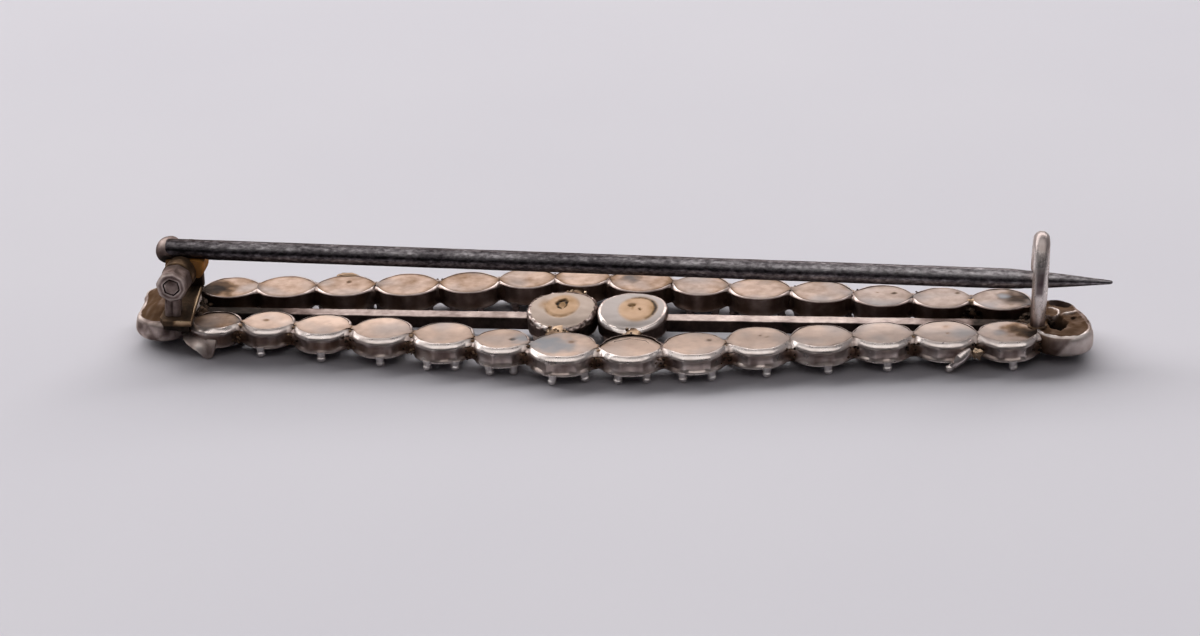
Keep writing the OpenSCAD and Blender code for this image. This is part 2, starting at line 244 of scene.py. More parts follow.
MAT = {
    "claw": metal("claw_silver", CLAW_PAINTED_LIGHT_STOPS, 0.42, 0.6, 0.7, 0.4, 0.5),
    "silver": metal("old_silver", SILVER_STOPS, 0.29, 0.53, 0.7, 0.16, 0.9, (0.17, 0.095, 0.06)),
    "wire": metal("catch_silver", SILVER_STOPS, 0.25, 0.5, 0.7, 0.2, 0.72, (0.075, 0.04, 0.048)),
    "matte": metal("matte_silver", SILVER_STOPS, 0.42, 0.68, 0.7, 0.6, 0.7, (0.12, 0.066, 0.035)),
    "gold": metal("back_gold", GOLD_STOPS, 0.5, 0.7, 0.5, 0.5, 0.45, (0.4, 0.4, 0.42)),
    "face": metal("centre_back", FACE_STOPS, 0.5, 0.7, 0.6, 0.7, 0.45, (0.5, 0.445, 0.42)),
    "solder": metal("solder", SOLDER_STOPS, 0.25, 0.6, 0.9, 0.8, 0.75),
    "brass": metal("old_brass", BRASS_STOPS, 0.3, 0.6, 0.8, 0.5, 0.8, (0.42, 0.19, 0.045)),
    "steel": metal("old_steel", STEEL_STOPS, 0.36, 0.5, 1.2, 0.7, 0.9, None, 6500, 0.82, (0.5, 1, 1)),
    "stone": new_material("clear_stone", clear_stone),
    "floor": new_material("pale_floor", pale_floor),
}


# building pieces
def clamp(*values):
    """The least of the values, kept between 0 and 1."""
    return max(0.0, min(1.0, *values))


def band(value, middle, half):
    """1 in the middle of a band of values, falling to 0 at its edges."""
    return max(0.0, 1 - abs(value - middle) / half)


def turns(count):
    """That many angles round a circle, in radians."""
    return [TAU * j / count for j in range(count)]


def wobble(p, scale, seed=0.0):
    """A smooth random value from -1 to 1 at a point in mm."""
    return noise.noise(Vector((p[0] * scale + seed, p[1] * scale - seed, p[2] * scale + 2 * seed)))


class Shape:
    """Gathers rings of points, each a position in mm, a tone of tarnish and painted light and shade, and a
    patch, and makes one piece of them.
    """

    def __init__(self):
        self.points, self.faces = [], []

    def rings(self, levels, places, point, loop=False, ends=(True, True)):
        """Adds a ring of points, given by point(level, place), for each level, in a loop or with ends."""
        start, n, k = len(self.points), len(places), len(levels)
        self.points += [point(level, place) for level in levels for place in places]
        for i in range(k if loop else k - 1):
            a, b = start + i * n, start + ((i + 1) % k) * n
            self.faces += [(a + j, a + (j + 1) % n, b + (j + 1) % n, b + j) for j in range(n)]
        if ends[0] and not loop:
            self.faces.append(tuple(start + j for j in reversed(range(n))))
        if ends[1] and not loop:
            self.faces.append(tuple(start + (k - 1) * n + j for j in range(n)))
        return self

    def make(self, name, material, body=ROOT, slot="frame_metal", sharp=38):
        """Makes the piece; edges sharper than that many degrees stay sharp."""
        mesh = bpy.data.meshes.new(name)
        mesh.from_pydata([tuple(c * MM for c in p[0]) for p in self.points], [], self.faces)
        for key, part in (("grime_and_shade", 1), ("patch", 2)):
            layer = mesh.attributes.new(key, "FLOAT", "POINT")
            layer.data.foreach_set("value", [clamp(float(p[part])) for p in self.points])
        bm = bmesh.new()
        bm.from_mesh(mesh)
        bmesh.ops.recalc_face_normals(bm, faces=bm.faces)
        bm.to_mesh(mesh)
        bm.free()
        mesh.polygons.foreach_set("use_smooth", [True] * len(mesh.polygons))
        mesh.set_sharp_from_angle(angle=radians(sharp))
        mesh.materials.append(MAT[material])
        obj = bpy.data.objects.new(name, mesh)
        bpy.context.scene.collection.objects.link(obj)
        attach(obj, body)
        return obj


def sections(path, radii, fixed=None):
    """For each point of a path: itself, its radius and two directions across, the first near a fixed one."""
    found, side = [], fixed
    for i, p in enumerate(path):
        ahead = (path[min(i + 1, len(path) - 1)] - path[max(i - 1, 0)]).normalized()
        side = fixed or side or ahead.orthogonal().normalized()
        side = (side - ahead * side.dot(ahead)).normalized()
        found.append((p, radii[i], side, ahead.cross(side)))
    return found


def tube(shape, path, radii, n, grime_and_shade, rough, seed):
    """A round bar along a path of points, with a radius at each, closed at both ends."""
    def point(level, t):
        p, radius, across, other = level
        q = p + (across * cos(t) + other * sin(t)) * radius
        return q + (q - p).normalized() * rough * wobble(q, 3.0, seed), grime_and_shade, 0.0

    return shape.rings(sections([Vector(p) for p in path], radii), turns(n), point)


def lump(shape, at, size, grime_and_shade, rough, seed, n=18):
    """An uneven rounded grain of solder."""
    def point(v, t):
        v = min(max(v, 0.04), pi - 0.04)
        d = Vector((sin(v) * cos(t), sin(v) * sin(t), cos(v)))
        k = 1 + rough * 2.2 * wobble((d.x + at[0], d.y + at[1], d.z + at[2]), 1.7, seed)
        return tuple(at[c] + d[c] * size[c] * k for c in range(3)), grime_and_shade, 0.0

    steps = n // 2
    return shape.rings([pi * i / steps for i in range(steps + 1)], turns(n), point)


def grain(shape, x, y, side, box, size, form, grime_and_shade, rough, seed, n):
    """A lump at random in a box (along, across, height) beside a point, of random size and grime."""
    along, across, height = [rng.uniform(*ends) for ends in box]
    s = rng.uniform(*size)
    at = (x + along, y + side * across, height)
    lump(shape, at, [s * f for f in form], rng.uniform(*grime_and_shade), rough, seed, n)


# the rows, as in the CAD: (along, out from the arch, diameter, number of claws, their turn)
FRONT_ROW = [
    (-23.5, -0.8, 3.1, 2, 0), (-20.55, 0.1, 2.75, 3, -10), (-17.75, -0.1, 2.85, 3, -11),
    (-14.8, 0.1, 3.1, 3, 5), (-11.6, 0.15, 3.25, 3, 3), (-8.3, 0.15, 3.3, 4, 2), (-5.2, 0.1, 2.95, 4, 5),
    (-1.95, 0.1, 3.6, 4, 16), (1.5, 0, 3.3, 4, 9), (4.7, 0.2, 3.35, 4, 10), (7.9, 0.05, 3.35, 3, 20),
    (11.1, 0.1, 3.3, 3, 16), (14.2, -0.05, 3.2, 3, 12), (17.4, -0.1, 3.3, 3, 9), (20.55, -0.05, 3.2, 3, 10),
    (23.35, -0.75, 3.1, 2, 0)]
BACK_ROW = [
    (-23.75, -0.8, 3, 3, 30), (-20.75, 0.25, 3.2, 3, -20), (-17.8, 0.35, 3.3, 3, 0),
    (-14.6, 0.4, 3.25, 3, 8), (-11.3, 0.3, 3.45, 3, -6), (-8, 0.2, 3.3, 4, 0), (-4.95, 0.25, 3.15, 4, 6),
    (-2, 0, 3.1, 4, -4), (1.2, -0.5, 3.55, 4, 0), (4.45, -0.45, 3.15, 4, 8), (7.6, -0.1, 3.35, 3, -10),
    (10.9, 0.15, 3.35, 3, 6), (14.1, 0.05, 3.25, 3, 0), (17.2, 0.1, 3.15, 3, 10), (20.3, 0.2, 3.25, 3, 0),
    (23.1, -0.9, 2.8, 3, -30)]
# the arch they are bent to: its half width at the ends, its rise in the middle and how wide that is
ARCH_END, ARCH_RISE, ARCH_WIDTH = 1.7, 3.1, 9
# where a collet's claws stand for their number, in degrees from the way out
CLAW_ANGLES = {2: (130, 230), 3: (0, 120, 240), 4: (-29, 29, 151, 209)}
# a claw's radius, its top, and how far in from the wall it stands, in the rows and in the centre pair
CLAW_RADIUS, CLAW_TOP, CLAW_INSET, CENTRE_CLAW_INSET = 0.195, 0.58, 0.17, 0.16
# heights: the rims, the wall's end inside them, the plates, and the highest that a plate may reach
RIM_Z, INNER_Z, PLATE_Z, PLATE_LIMIT = 1.5, 1.24, 1.466, 1.492
# points round each wall and plate
AROUND = 120
# grains of solder at each join, on each end, on all the ties and at the odd join
JOIN_GRAINS, WEB_GRAINS, TIE_GRAINS, ODD_GRAINS = 16, 34, 30, 14
# a wall from its seat by the lip to the rim: (in from the outside, height, grime, hollow to neighbours)
WALL_PROFILE = [
    (0.47, 0.72, 0.9, 0), (0.32, 0.70, 0.9, 0), (0.32, 0.48, 0.6, 0), (0.27, 0.45, 0.3, 0.1),
    (0.1, 0.45, 0.15, 0.2), (0.045, 0.468, 0.06, 0.25), (0.02, 0.5, 0.03, 0.3), (0.022, 0.54, 0.05, 0.36),
    (0.05, 0.6, 0.16, 0.45), (0.075, 0.68, 0.2, 0.58), (0.09, 0.78, 0.2, 0.7), (0.092, 0.88, 0.18, 0.78),
    (0.082, 0.97, 0.16, 0.8), (0.06, 1.05, 0.14, 0.72), (0.032, 1.12, 0.12, 0.55), (0.012, 1.17, 0.1, 0.36)]
# its rim: (share of the rim's width, height, grime, hollow)
RIM_PROFILE = [
    (0.0, 1.22, 0.2, 0.32), (0.03, 1.265, 0.16, 0.28), (0.09, 1.31, 0.12, 0.24), (0.18, 1.35, 0.08, 0.2),
    (0.3, 1.388, 0.05, 0.17), (0.44, 1.42, 0.05, 0.14), (0.6, 1.447, 0.08, 0.11), (0.76, 1.468, 0.12, 0.08),
    (0.9, 1.484, 0.2, 0.05), (1.0, 1.48, 0.6, 0), (1.02, 1.43, 0.95, 0), (1.03, INNER_Z, 1.0, 0)]
WALL_LEVELS = ([(*level, False) for level in WALL_PROFILE] + [(*level, True) for level in RIM_PROFILE]
               + [(0.47, INNER_Z, 1.0, 0, False)])
# a plate from its middle out and down: (share of its width, drop)
PLATE_LEVELS = [
    (0.02, 0), (0.1, 0), (0.2, 0), (0.3, 0), (0.4, 0), (0.5, 0), (0.6, 0), (0.7, 0), (0.79, 0), (0.87, 0),
    (0.94, 0), (0.985, -0.004), (1.0, -0.02), (1.0, -0.16), (0.9, -0.16), (0.02, -0.16)]


def place(side, row, i):
    """A collet's middle and radius. The rows are bent to an arch."""
    x, outset, diameter, _, _ = row[i]
    return x, side * (ARCH_END + ARCH_RISE / (1 + (x / ARCH_WIDTH) ** 2) + outset), diameter / 2


def angle_between(a, b):
    """Smallest angle from a to b, in degrees."""
    return abs((a - b + 180) % 360 - 180)


def facet(angle, count, phase):
    """How far a wall of flat facets lies inside the circle, as a share of its radius."""
    step = 360 / count
    t = radians((angle + phase) % step - step / 2)
    return 1 - cos(radians(step / 2)) / cos(t)


def joins_of(side, row, i):
    """For each neighbour, the angle towards it and the share of the distance that is this collet's."""
    x, y, r = place(side, row, i)
    found = []
    for k in (i - 1, i + 1):
        u, v, q = place(side, row, k)
        found.append((degrees(atan2(v - y, u - x)), hypot(u - x, v - y) * r / (r + q)))
    return found


def near_join(angle, joins, width):
    """1 towards a neighbour, falling to 0 away from it."""
    return max(exp(-(angle_between(angle, way) / width) ** 2) for way, _ in joins)


def join_point(side, row, i):
    """The point where a collet meets the next."""
    x0, y0, r0 = place(side, row, i)
    x1, y1, r1 = place(side, row, i + 1)
    s = r0 / (r0 + r1)
    return x0 + s * (x1 - x0), y0 + s * (y1 - y0)


def filled_out(a, r, joins, hollow):
    """A wall's radius at an angle, filled out by a hollow curve at its neighbours, and how deep in it is."""
    best, deep = r, 0.0
    if hollow < 0.02:
        return best, deep
    for angle, half in joins:
        t = radians(angle_between(a, angle))
        high = sqrt(max(0.01, (r + hollow) ** 2 - half ** 2))
        start = atan2(high, half)
        if t < start:
            along = half * cos(t) + high * sin(t)
            inside = along ** 2 - (half ** 2 + high ** 2 - hollow ** 2)
            q = along - sqrt(inside) if inside > 0 else 9.0
            best = max(best, min(q, (half + 0.03) / max(0.2, cos(t))))
            deep = max(deep, 1 - t / start)
    return best, deep


def rim_width(a, out, joins):
    """The rim's width at an angle: wide on the outside, narrow at the neighbours."""
    outer = 0.5 + 0.5 * cos(radians(angle_between(a, out)))
    return (0.11 + 0.28 * outer ** 1.3) * (1 - 0.72 * near_join(a, joins, 20))


def collet(shape, side, row, i, rough, faceting, count, dirt, sunk):
    """A waisted wall with soft facets and a rounded rim, which runs on into its neighbours."""
    x, y, r = place(side, row, i)
    joins = joins_of(side, row, i)
    out = side * 90
    phase, seed = 180 / count - out - 6 + rng.uniform(-5, 5), rng.uniform(0, 50)

    def point(level, j):
        inward, z, g, hollow, on_rim = level
        if z == INNER_Z:
            z -= sunk
        a = 360 * j / AROUND
        t = radians(a)
        aside = angle_between(a, out)
        inner = max(0.0, -cos(radians(aside)))
        q = r - (inward * rim_width(a, out, joins) if on_rim else inward)
        q -= r * faceting * facet(a, count, phase) * (0.4 if on_rim else 1 if z > 0.66 else 0.3)
        q, deep = filled_out(a, q, joins, hollow * (0.45 if aside > 90 else 1))
        k = min(1, deep * 3)
        join = near_join(a, joins, 14)
        p = (x + q * cos(t), y + q * sin(t), z)
        d = rough * wobble(p, 2.2, seed) + k * (0.09 * wobble(p, 2.4, seed) + 0.06 * wobble(p, 5.5, seed))
        up = z - (0.03 * join if on_rim else 0)
        if 1.0 < z < 1.48 and inward < 0.9:
            up += min(1.0, 1.6 * inner) * 0.75 * (1.48 - z) * min(1.0, (z - 1.0) / 0.12)
        at = (p[0] + d * cos(t), p[1] + d * sin(t), min(RIM_Z, up + d * 0.6))
        g += (dirt + 0.03) * (1.0 if z < 1.2 else 0.3)
        if on_rim:
            return at, g + 0.2 * join + 0.25 * k + inner * (0.5 if z < 1.44 else 0.15), 0.2 * join
        streak = wobble((x + 1.5 * cos(t), y + 1.5 * sin(t), z * 0.35), 1.9, seed + 7)
        g += 0.34 * (streak + 0.1) * clamp((z - 0.5) / 0.1) * clamp((1.25 - z) / 0.1)
        g += 0.22 * min(1, inner * 1.8) * (0.6 if z < 0.6 else 1) * (1 + 0.5 * wobble(p, 1.4, seed))
        g += k * (0.42 + 0.5 * wobble(p, 3.0, seed + 3) + 0.15 * inner)
        # a painted dark reflection on the waist, where the wall faces straight out
        facing_reflection = clamp((19 - angle_between(a, out + 6)) / 5)
        waist = clamp((z - 0.64) / 0.06) * clamp((1.1 - z) / 0.06)
        g += 0.13 * facing_reflection * waist * (1 + 0.8 * wobble(p, 1.6, seed))
        brown = clamp((-5 - x) / 5) * waist * (0.55 + 0.5 * wobble(p, 1.3, seed + 5))
        return at, g, max(0.75 * k * (1 - inner), 0.5 * min(1, 2 * inner), brown)

    shape.rings(WALL_LEVELS, range(AROUND), point, loop=True)


def plate(shape, side, row, i, tilt, dirt, sunk):
    """The closed gold back of a collet, a pointed oval that runs on into its neighbours."""
    x, y, r = place(side, row, i)
    joins = joins_of(side, row, i)
    out = side * 90
    seed = rng.uniform(0, 50)

    def point(level, j):
        share, drop = level
        a = 360 * j / AROUND
        t = radians(a)
        join = near_join(a, joins, 13)
        q = r - rim_width(a, out, joins) - 0.012
        for angle, half in joins:
            d = angle_between(a, angle)
            if d < 7 and not sunk:
                q = max(q, (half + 0.02) / cos(radians(d)))
        q *= share
        px, py = x + q * cos(t), y + q * sin(t)
        z = PLATE_Z - sunk + drop + 0.012 * join * share
        z += tilt[0] * (px - x) + tilt[1] * (py - y)
        z += 0.012 * wobble((px, py, 0), 1.1, seed) + 0.006 * wobble((px, py, 0), 3.5, seed)
        g = 0.15 + dirt + 0.14 * (join * share ** 4 + max(0.0, (share - 0.8) / 0.2)) + 0.15 * (share > 0.97)
        mottle = 0.17 * max(0, wobble((px, py, 3), 0.9, seed)) + 0.08 * wobble((px, py * 0.7, 6), 2.6, seed)
        mottle += 0.16 * max(0, wobble((px * 0.6, py * 1.6, 9), 3.4, seed) - 0.35)
        g += mottle * (0.55 if side > 0 else 1)
        if drop < -0.01:
            g = 0.85
        grey = 0.55 * max(0.0, wobble((px, py, 7), 0.75, seed + 9) + 0.05) + 0.3 * clamp((px - 4) / 12)
        for spot_x, spot_y, radius, spot_grime, spot_grey in SPOTS.get((side, i), ()):
            d = hypot(px - x - spot_x, py - y - spot_y) / radius
            d += 0.35 * wobble((px, py, 5), 2.5, seed)
            k = clamp(1.35 - d * 1.1)
            g += spot_grime * k
            grey += (spot_grey - grey) * k
            if spot_grime > 0.6 and radius < 0.3:
                z -= 0.05 * k
        return (px, py, min(z, PLATE_LIMIT)), g, grey

    shape.rings(PLATE_LEVELS, range(AROUND), point)


def claw(shape, x, y, lean=(0, 0), ball=0.22, grime_and_shade=0.4):
    """A short claw from the lip down to its rounded end on the surface."""
    top, foot = Vector((x, y, CLAW_TOP)), Vector((x + lean[0], y + lean[1], 0.0))
    path = [top.lerp(foot, 0.5 * k / 4) for k in range(5)]
    radii = [CLAW_RADIUS * (1.25 - 0.3 * k / 4) for k in range(5)]
    highest = path[-1].z - 0.02
    for k in range(1, 8):
        v = pi * k / 8
        q = Vector((foot.x, foot.y, ball)) + Vector((0, 0, cos(v) * ball))
        if q.z < highest:
            path.append(q)
            radii.append(ball * sin(v))
    tube(shape, path, radii, 14, grime_and_shade, 0.02, x)


def claws(shape, side, row, i):
    """A collet's claws. Two near collets have an odd one instead of the first, see odd_claws()."""
    x, y, r = place(side, row, i)
    count, turn = row[i][3:]
    first = 1 if side < 0 and i in (1, 13) else 0
    for a in CLAW_ANGLES[count][first:]:
        a = side * 90 + a + turn
        t = radians(a)
        q = r - CLAW_INSET
        # the near row's outward claws are painted light, the others darker as shaded
        grime_and_shade = 0.05 if angle_between(a, side * 90) < 75 and side < 0 else 0.55
        lean = (rng.uniform(-0.05, 0.05), rng.uniform(-0.03, 0.03))
        claw(shape, x + q * cos(t), y + q * sin(t), lean, rng.uniform(0.215, 0.25), grime_and_shade)


# spots on single plates: (side, collet): [(along and across from its middle, radius, grime, grey)]
SPOTS = {
    (-1, 2): [(-0.15, 0.15, 0.2, 0.35, 0)],
    (-1, 3): [(0.3, 0.2, 0.12, 0.3, 0)],
    (-1, 6): [(0.55, 0.1, 0.2, 0.75, 0), (1.2, 0.2, 0.7, 0.0, 0.9)],
    (-1, 7): [(-0.9, 0.35, 1.2, 0.0, 1.0), (-0.1, -0.1, 0.8, 0.05, 0.9), (0.35, 0.5, 0.25, 0.4, 0)],
    (-1, 9): [(0.75, 0.55, 0.2, 0.5, 0.2)],
    (-1, 10): [(0.1, 0.5, 0.12, 0.4, 0), (0.45, 0.3, 0.12, 0.35, 0)],
    (-1, 13): [(0.0, 0.75, 0.3, 0.2, 0), (0.1, -0.1, 0.15, 0.35, 0)],
    (-1, 14): [(0.75, 0.25, 1.25, 0.45, 0), (1.3, -0.1, 0.8, 0.3, 0), (0.2, 0.75, 0.8, 0.22, 0),
               (-0.4, 0.0, 0.4, 0.06, 0.7)],
    (1, 1): [(-0.9, -0.3, 1.1, 0.7, 0)],
    (1, 3): [(0.1, 0.35, 0.14, 0.5, 0)],
    (1, 4): [(0.1, 0.2, 0.6, 0.1, 0)],
    (1, 8): [(-0.6, 0.2, 0.6, 0.4, 0.3)],
    (1, 12): [(0.6, 0.2, 0.14, 0.5, 0), (-0.3, 0.3, 0.1, 0.4, 0)],
    (1, 13): [(0.8, 0.5, 0.14, 0.4, 0)],
    (1, 14): [(0.85, 0.1, 1.0, 0.52, 0), (0.1, 0.3, 0.35, 0.15, 0.9)]}
# how dull each collet's wall is, from the hinge to the catch
DULL = {-1: (0.3, 0.22, 0.2, 0.16, 0.14, 0.08, 0.02, 0.02, 0.0, 0.05, 0.05, 0.06, 0.1, 0.04, 0.1, 0.2),
        1: (0.4, 0.35, 0.2, 0.15, 0.15, 0.15, 0.15, 0.2, 0.25, 0.15, 0.12, 0.15, 0.15, 0.2, 0.3, 0.3)}
# collets that are rougher than the rest, and how far some plates are sunk
PLAIN_ROUGH, ROUGHER = 0.012, {(-1, 1): 0.045, (-1, 8): 0.035}
SUNK = {(-1, 1): 0.03, (-1, 8): 0.07}


def rows():
    """Both rows of collets, with their plates, claws and solder. The end collets' walls are in the ends."""
    for name, side, row in (("front", -1, FRONT_ROW), ("back", 1, BACK_ROW)):
        walls, plates, feet, grains = Shape(), Shape(), Shape(), Shape()
        for i in range(1, 15):
            here = (side, i)
            sunk = SUNK.get(here, 0.0)
            faceting, count = 0.95, 7
            if here != (-1, 14):
                faceting, count = 0.8 if side < 0 else 0.4, rng.choice((7, 8, 8, 9))
            collet(walls, side, row, i, ROUGHER.get(here, PLAIN_ROUGH), faceting, count, DULL[side][i], sunk)
            tilt = (rng.uniform(-0.012, 0.012), rng.uniform(-0.012, 0.012))
            plate(plates, side, row, i, tilt, 0.42 if here == (-1, 1) else 0.24 * (side > 0), sunk)
        for i in range(16):
            claws(feet, side, row, i)
        for i in range(15):
            jx, jy = join_point(side, row, i)
            for k in range(JOIN_GRAINS):
                box = ((-0.34, 0.34), (0.78, 1.0), (0.62, 1.28))
                grain(grains, jx, jy, side, box, (0.03, 0.07), (1.3, 1, 1), (0.45, 1.0), 0.25, jx + k, 8)
            s = rng.uniform(0.06, 0.12)
            at, size = (jx, jy + side * 0.3, 1.37), (s * 1.3, s * 1.5, s * 0.7)
            lump(grains, at, size, rng.uniform(0.3, 0.75), 0.25, jx, 14)
        if side > 0:
            x, y, r = place(side, row, 3)
            lump(grains, (x - 0.15, y + r - 0.3, 1.4), (0.6, 0.3, 0.18), 0.3, 0.1, x, 14)
        walls.make(name + "_collets", "silver")
        plates.make(name + "_back_plates", "gold")
        feet.make(name + "_claws", "claw")
        grains.make(name + "_solder_grains", "solder")


# the centre pair and the bar
CENTRE_X, CENTRE_W, CENTRE_L, CENTRE_Z = -0.68, 3.7, 4.25, 1.62
CENTRE_XS = (CENTRE_X - CENTRE_W / 2 - 0.01, CENTRE_X + CENTRE_W / 2 - 0.02)
# their walls and faces: (in from the outside, height, and for the walls grime)
CENTRE_PROFILE = [
    (0.5, 0.72, 0.9), (0.36, 0.7, 0.9), (0.36, 0.48, 0.6), (0.3, 0.45, 0.3), (0.1, 0.45, 0.15),
    (0.05, 0.5, 0.2), (0.02, 0.62, 0.75), (0.02, 0.8, 0.85), (0.02, 1.0, 0.8), (0.02, 1.14, 0.68),
    (0.01, 1.25, 0.5), (0.0, 1.34, 0.36), (0.01, 1.43, 0.26), (0.03, 1.5, 0.14), (0.06, 1.55, 0.06),
    (0.1, 1.585, 0.02), (0.15, 1.602, 0.06), (0.2, 1.603, 0.14), (0.26, 1.58, 0.2), (0.3, 1.5, 0.5)]
FACE_PROFILE = [(0.17, 1.592), (0.22, 1.604)] + [(0.26 + 0.054 * k, 1.603 - 0.001 * k) for k in range(29)]


def oval_point(x, inward, t, z):
    """A point on the centre collet's outline, some way inside it. Its lip stands out on the near side."""
    r = CENTRE_W / 2 - inward
    stretch = (CENTRE_L - CENTRE_W) / 2
    flare = 0.22 * max(0.0, -sin(t)) * clamp((z - 0.8) / 0.5) * r / (CENTRE_W / 2)
    return x + r * cos(t), r * sin(t) + stretch * tanh(3 * sin(t)) - flare


def centre_drop(px, py, x):
    """How far the centre collet's top has sunk at a point: it rounds down towards the near side."""
    return 0.3 * max(0.0, -py / (CENTRE_L / 2)) ** 1.5 * min(1.0, hypot(px - x, py) / 1.9) ** 2


def centre_pair():
    """The two large collets side by side, with their pitted faces and their claws."""
    walls, faces, feet = Shape(), Shape(), Shape()
    for number, x in enumerate(CENTRE_XS):
        seed = 3 + 7 * number
        uneven, scale, worn_face = ((0.07, 6.5, left_face), (0.02, 2.0, right_face))[number]

        def wall(level, t):
            inward, z, g = level
            px, py = oval_point(x, inward, t, z)
            d = uneven * (1.2 < z) * (inward < 0.22) * wobble((px, py, z), scale, seed)
            drop = clamp((z - 1.1) / 0.4) * centre_drop(px, py, x)
            if z > 1.3:
                g += 0.3 + 0.5 * wobble((px * 3, py * 3, z * 3), 1.8, seed) if number == 0 else 0.0
                # painted highlight: the upper wall is darker all round but left light on its near side
                g += 0.34 * (1 - max(0.0, -sin(t + 0.25)) ** 0.6)
            g += 0.15 * wobble((px * 3, py * 3, z), 1.5, seed)
            return (px + d * cos(t), py + d * sin(t), min(z + d - drop, CENTRE_Z)), g, 0.0

        def face(level, t):
            inward, z = level
            px, py = oval_point(x, inward, t, z)
            g, grey, down = worn_face(px - x, py)
            z += 0.012 * wobble((px, py, 0), 2.2, seed) - down - centre_drop(px, py, x)
            return (px, py, min(z, CENTRE_Z)), g + 0.1 * wobble((px, py, 0), 1.5, seed), grey

        walls.rings(CENTRE_PROFILE, turns(AROUND), wall, ends=(True, False))
        faces.rings(FACE_PROFILE, turns(AROUND), face, ends=(False, True))
        for sx, sy in ((-1, -1), (-1, 1), (1, -1), (1, 1)):
            t = atan2(sy * 1.3, sx * 1.25)
            q = CENTRE_W / 2 - CENTRE_CLAW_INSET
            claw(feet, x + q * cos(t), q * sin(t) + sy * (CENTRE_L - CENTRE_W) / 2)
    walls.make("centre_collets", "silver")
    faces.make("centre_faces", "face")
    feet.make("centre_claws", "claw")


def line_gap(u, v, a, b):
    """Distance from a point to the line from a to b."""
    du, dv = b[0] - a[0], b[1] - a[1]
    k = clamp(((u - a[0]) * du + (v - a[1]) * dv) / (du * du + dv * dv))
    return hypot(u - a[0] - k * du, v - a[1] - k * dv)


def left_face(u, v):
    """Grime, greyness and depth of the left face: a golden ring round an uneven three-cornered pit."""
    d = hypot((u + 0.04) / 0.86, (v - 0.25) / 1.35)
    t = atan2((v - 0.25) / 1.35, (u + 0.04) / 0.86)
    grey = clamp((d - 0.9) / 0.2)
    noisy = 0.7 + 0.7 * wobble((u * 1.5, v, 0), 2.6, 4)
    ring = band(d, 1.0, 0.17) * max(0.0, cos(t + 2.0)) ** 0.5
    ring = max(ring, 0.5 * band(d, 1.0, 0.12) * max(0.0, cos(t + 0.3)))
    stain = max(0.0, 1 - hypot((u + 1.0) / 0.4, (v - 0.35) / 0.8))
    pit_at = hypot((u + 0.08) / 0.3, (v - 0.5) / 0.58) + 0.45 * wobble((u, v * 0.6, 8), 3.2, 2)
    pit = band(pit_at, 0.85, 0.4) * (0.55 + 0.9 * max(0.0, wobble((u, v, 6), 4.0, 1) + 0.25))
    inside = clamp(1.2 - pit_at)
    g = 0.12 + 0.5 * ring * noisy + 0.42 * stain * noisy + 0.85 * pit + 0.3 * inside
    g += 0.22 * max(0.0, wobble((u, v, 4), 1.6, 6))
    return g, 0.6 * grey * (1 - 0.9 * ring) * (1 - stain), 0.05 * ring + 0.08 * pit + 0.06 * inside


def right_face(u, v):
    """The same of the right face: a peach disc with a dark pit and a broken dark arc at its right."""
    d = hypot((u - 0.25) / 1.0, v / 1.5)
    t = atan2(v / 1.5, u - 0.25)
    grey = clamp((d - 0.9) / 0.2)
    dots = 0.75 + 1.8 * max(0.0, wobble((u, v * 0.5, 2), 7.0, 1))
    arc = band(d, 0.97, 0.15) * max(0.0, cos(t - 0.5)) ** 0.3 * min(1.0, dots)
    bent = 0.1 * wobble((u, v, 8), 3.0, 5)
    pit = max(0.0, 1 - line_gap(u + bent, v * 0.5 + bent, (-0.2, 0.2), (0.05, 0.26)) / 0.13)
    pit = max(pit, 1 - line_gap(u, v * 0.5 + bent, (0.36, 0.02), (0.44, -0.06)) / 0.1)
    rust = max(0.0, 1 - hypot((u - 1.0) / 0.35, (v - 0.1) / 0.9))
    g = 0.06 + 0.95 * arc + 1.0 * pit * (0.75 + 0.6 * wobble((u, v, 5), 5.0, 2)) + 0.35 * rust
    g += 0.2 * max(0.0, wobble((u, v, 4), 1.4, 2))
    return g, grey * (1 - arc) * (1 - rust), 0.04 * arc + 0.08 * pit


# the bar's section: (across, height)
BAR_SECTION = [
    (-0.38, 0.45), (0.38, 0.45), (0.425, 0.9), (0.425, 1.07), (0.385, 1.115), (0.2, 1.12), (0.0, 1.12),
    (-0.2, 1.12), (-0.385, 1.115), (-0.425, 1.07), (-0.425, 0.9)]
BAR_END, BAR_STEPS = 21.6, 90
# the ties: (along, side, width, how far out they reach)
TIES = ((-2.55, -1, 1.5, 3.5), (1.4, -1, 1.0, 3.7), (-2.1, 1, 1.0, 3.6), (0.85, 1, 1.3, 3.0))
TIE_STEPS, TIE_FROM = 20, 1.75


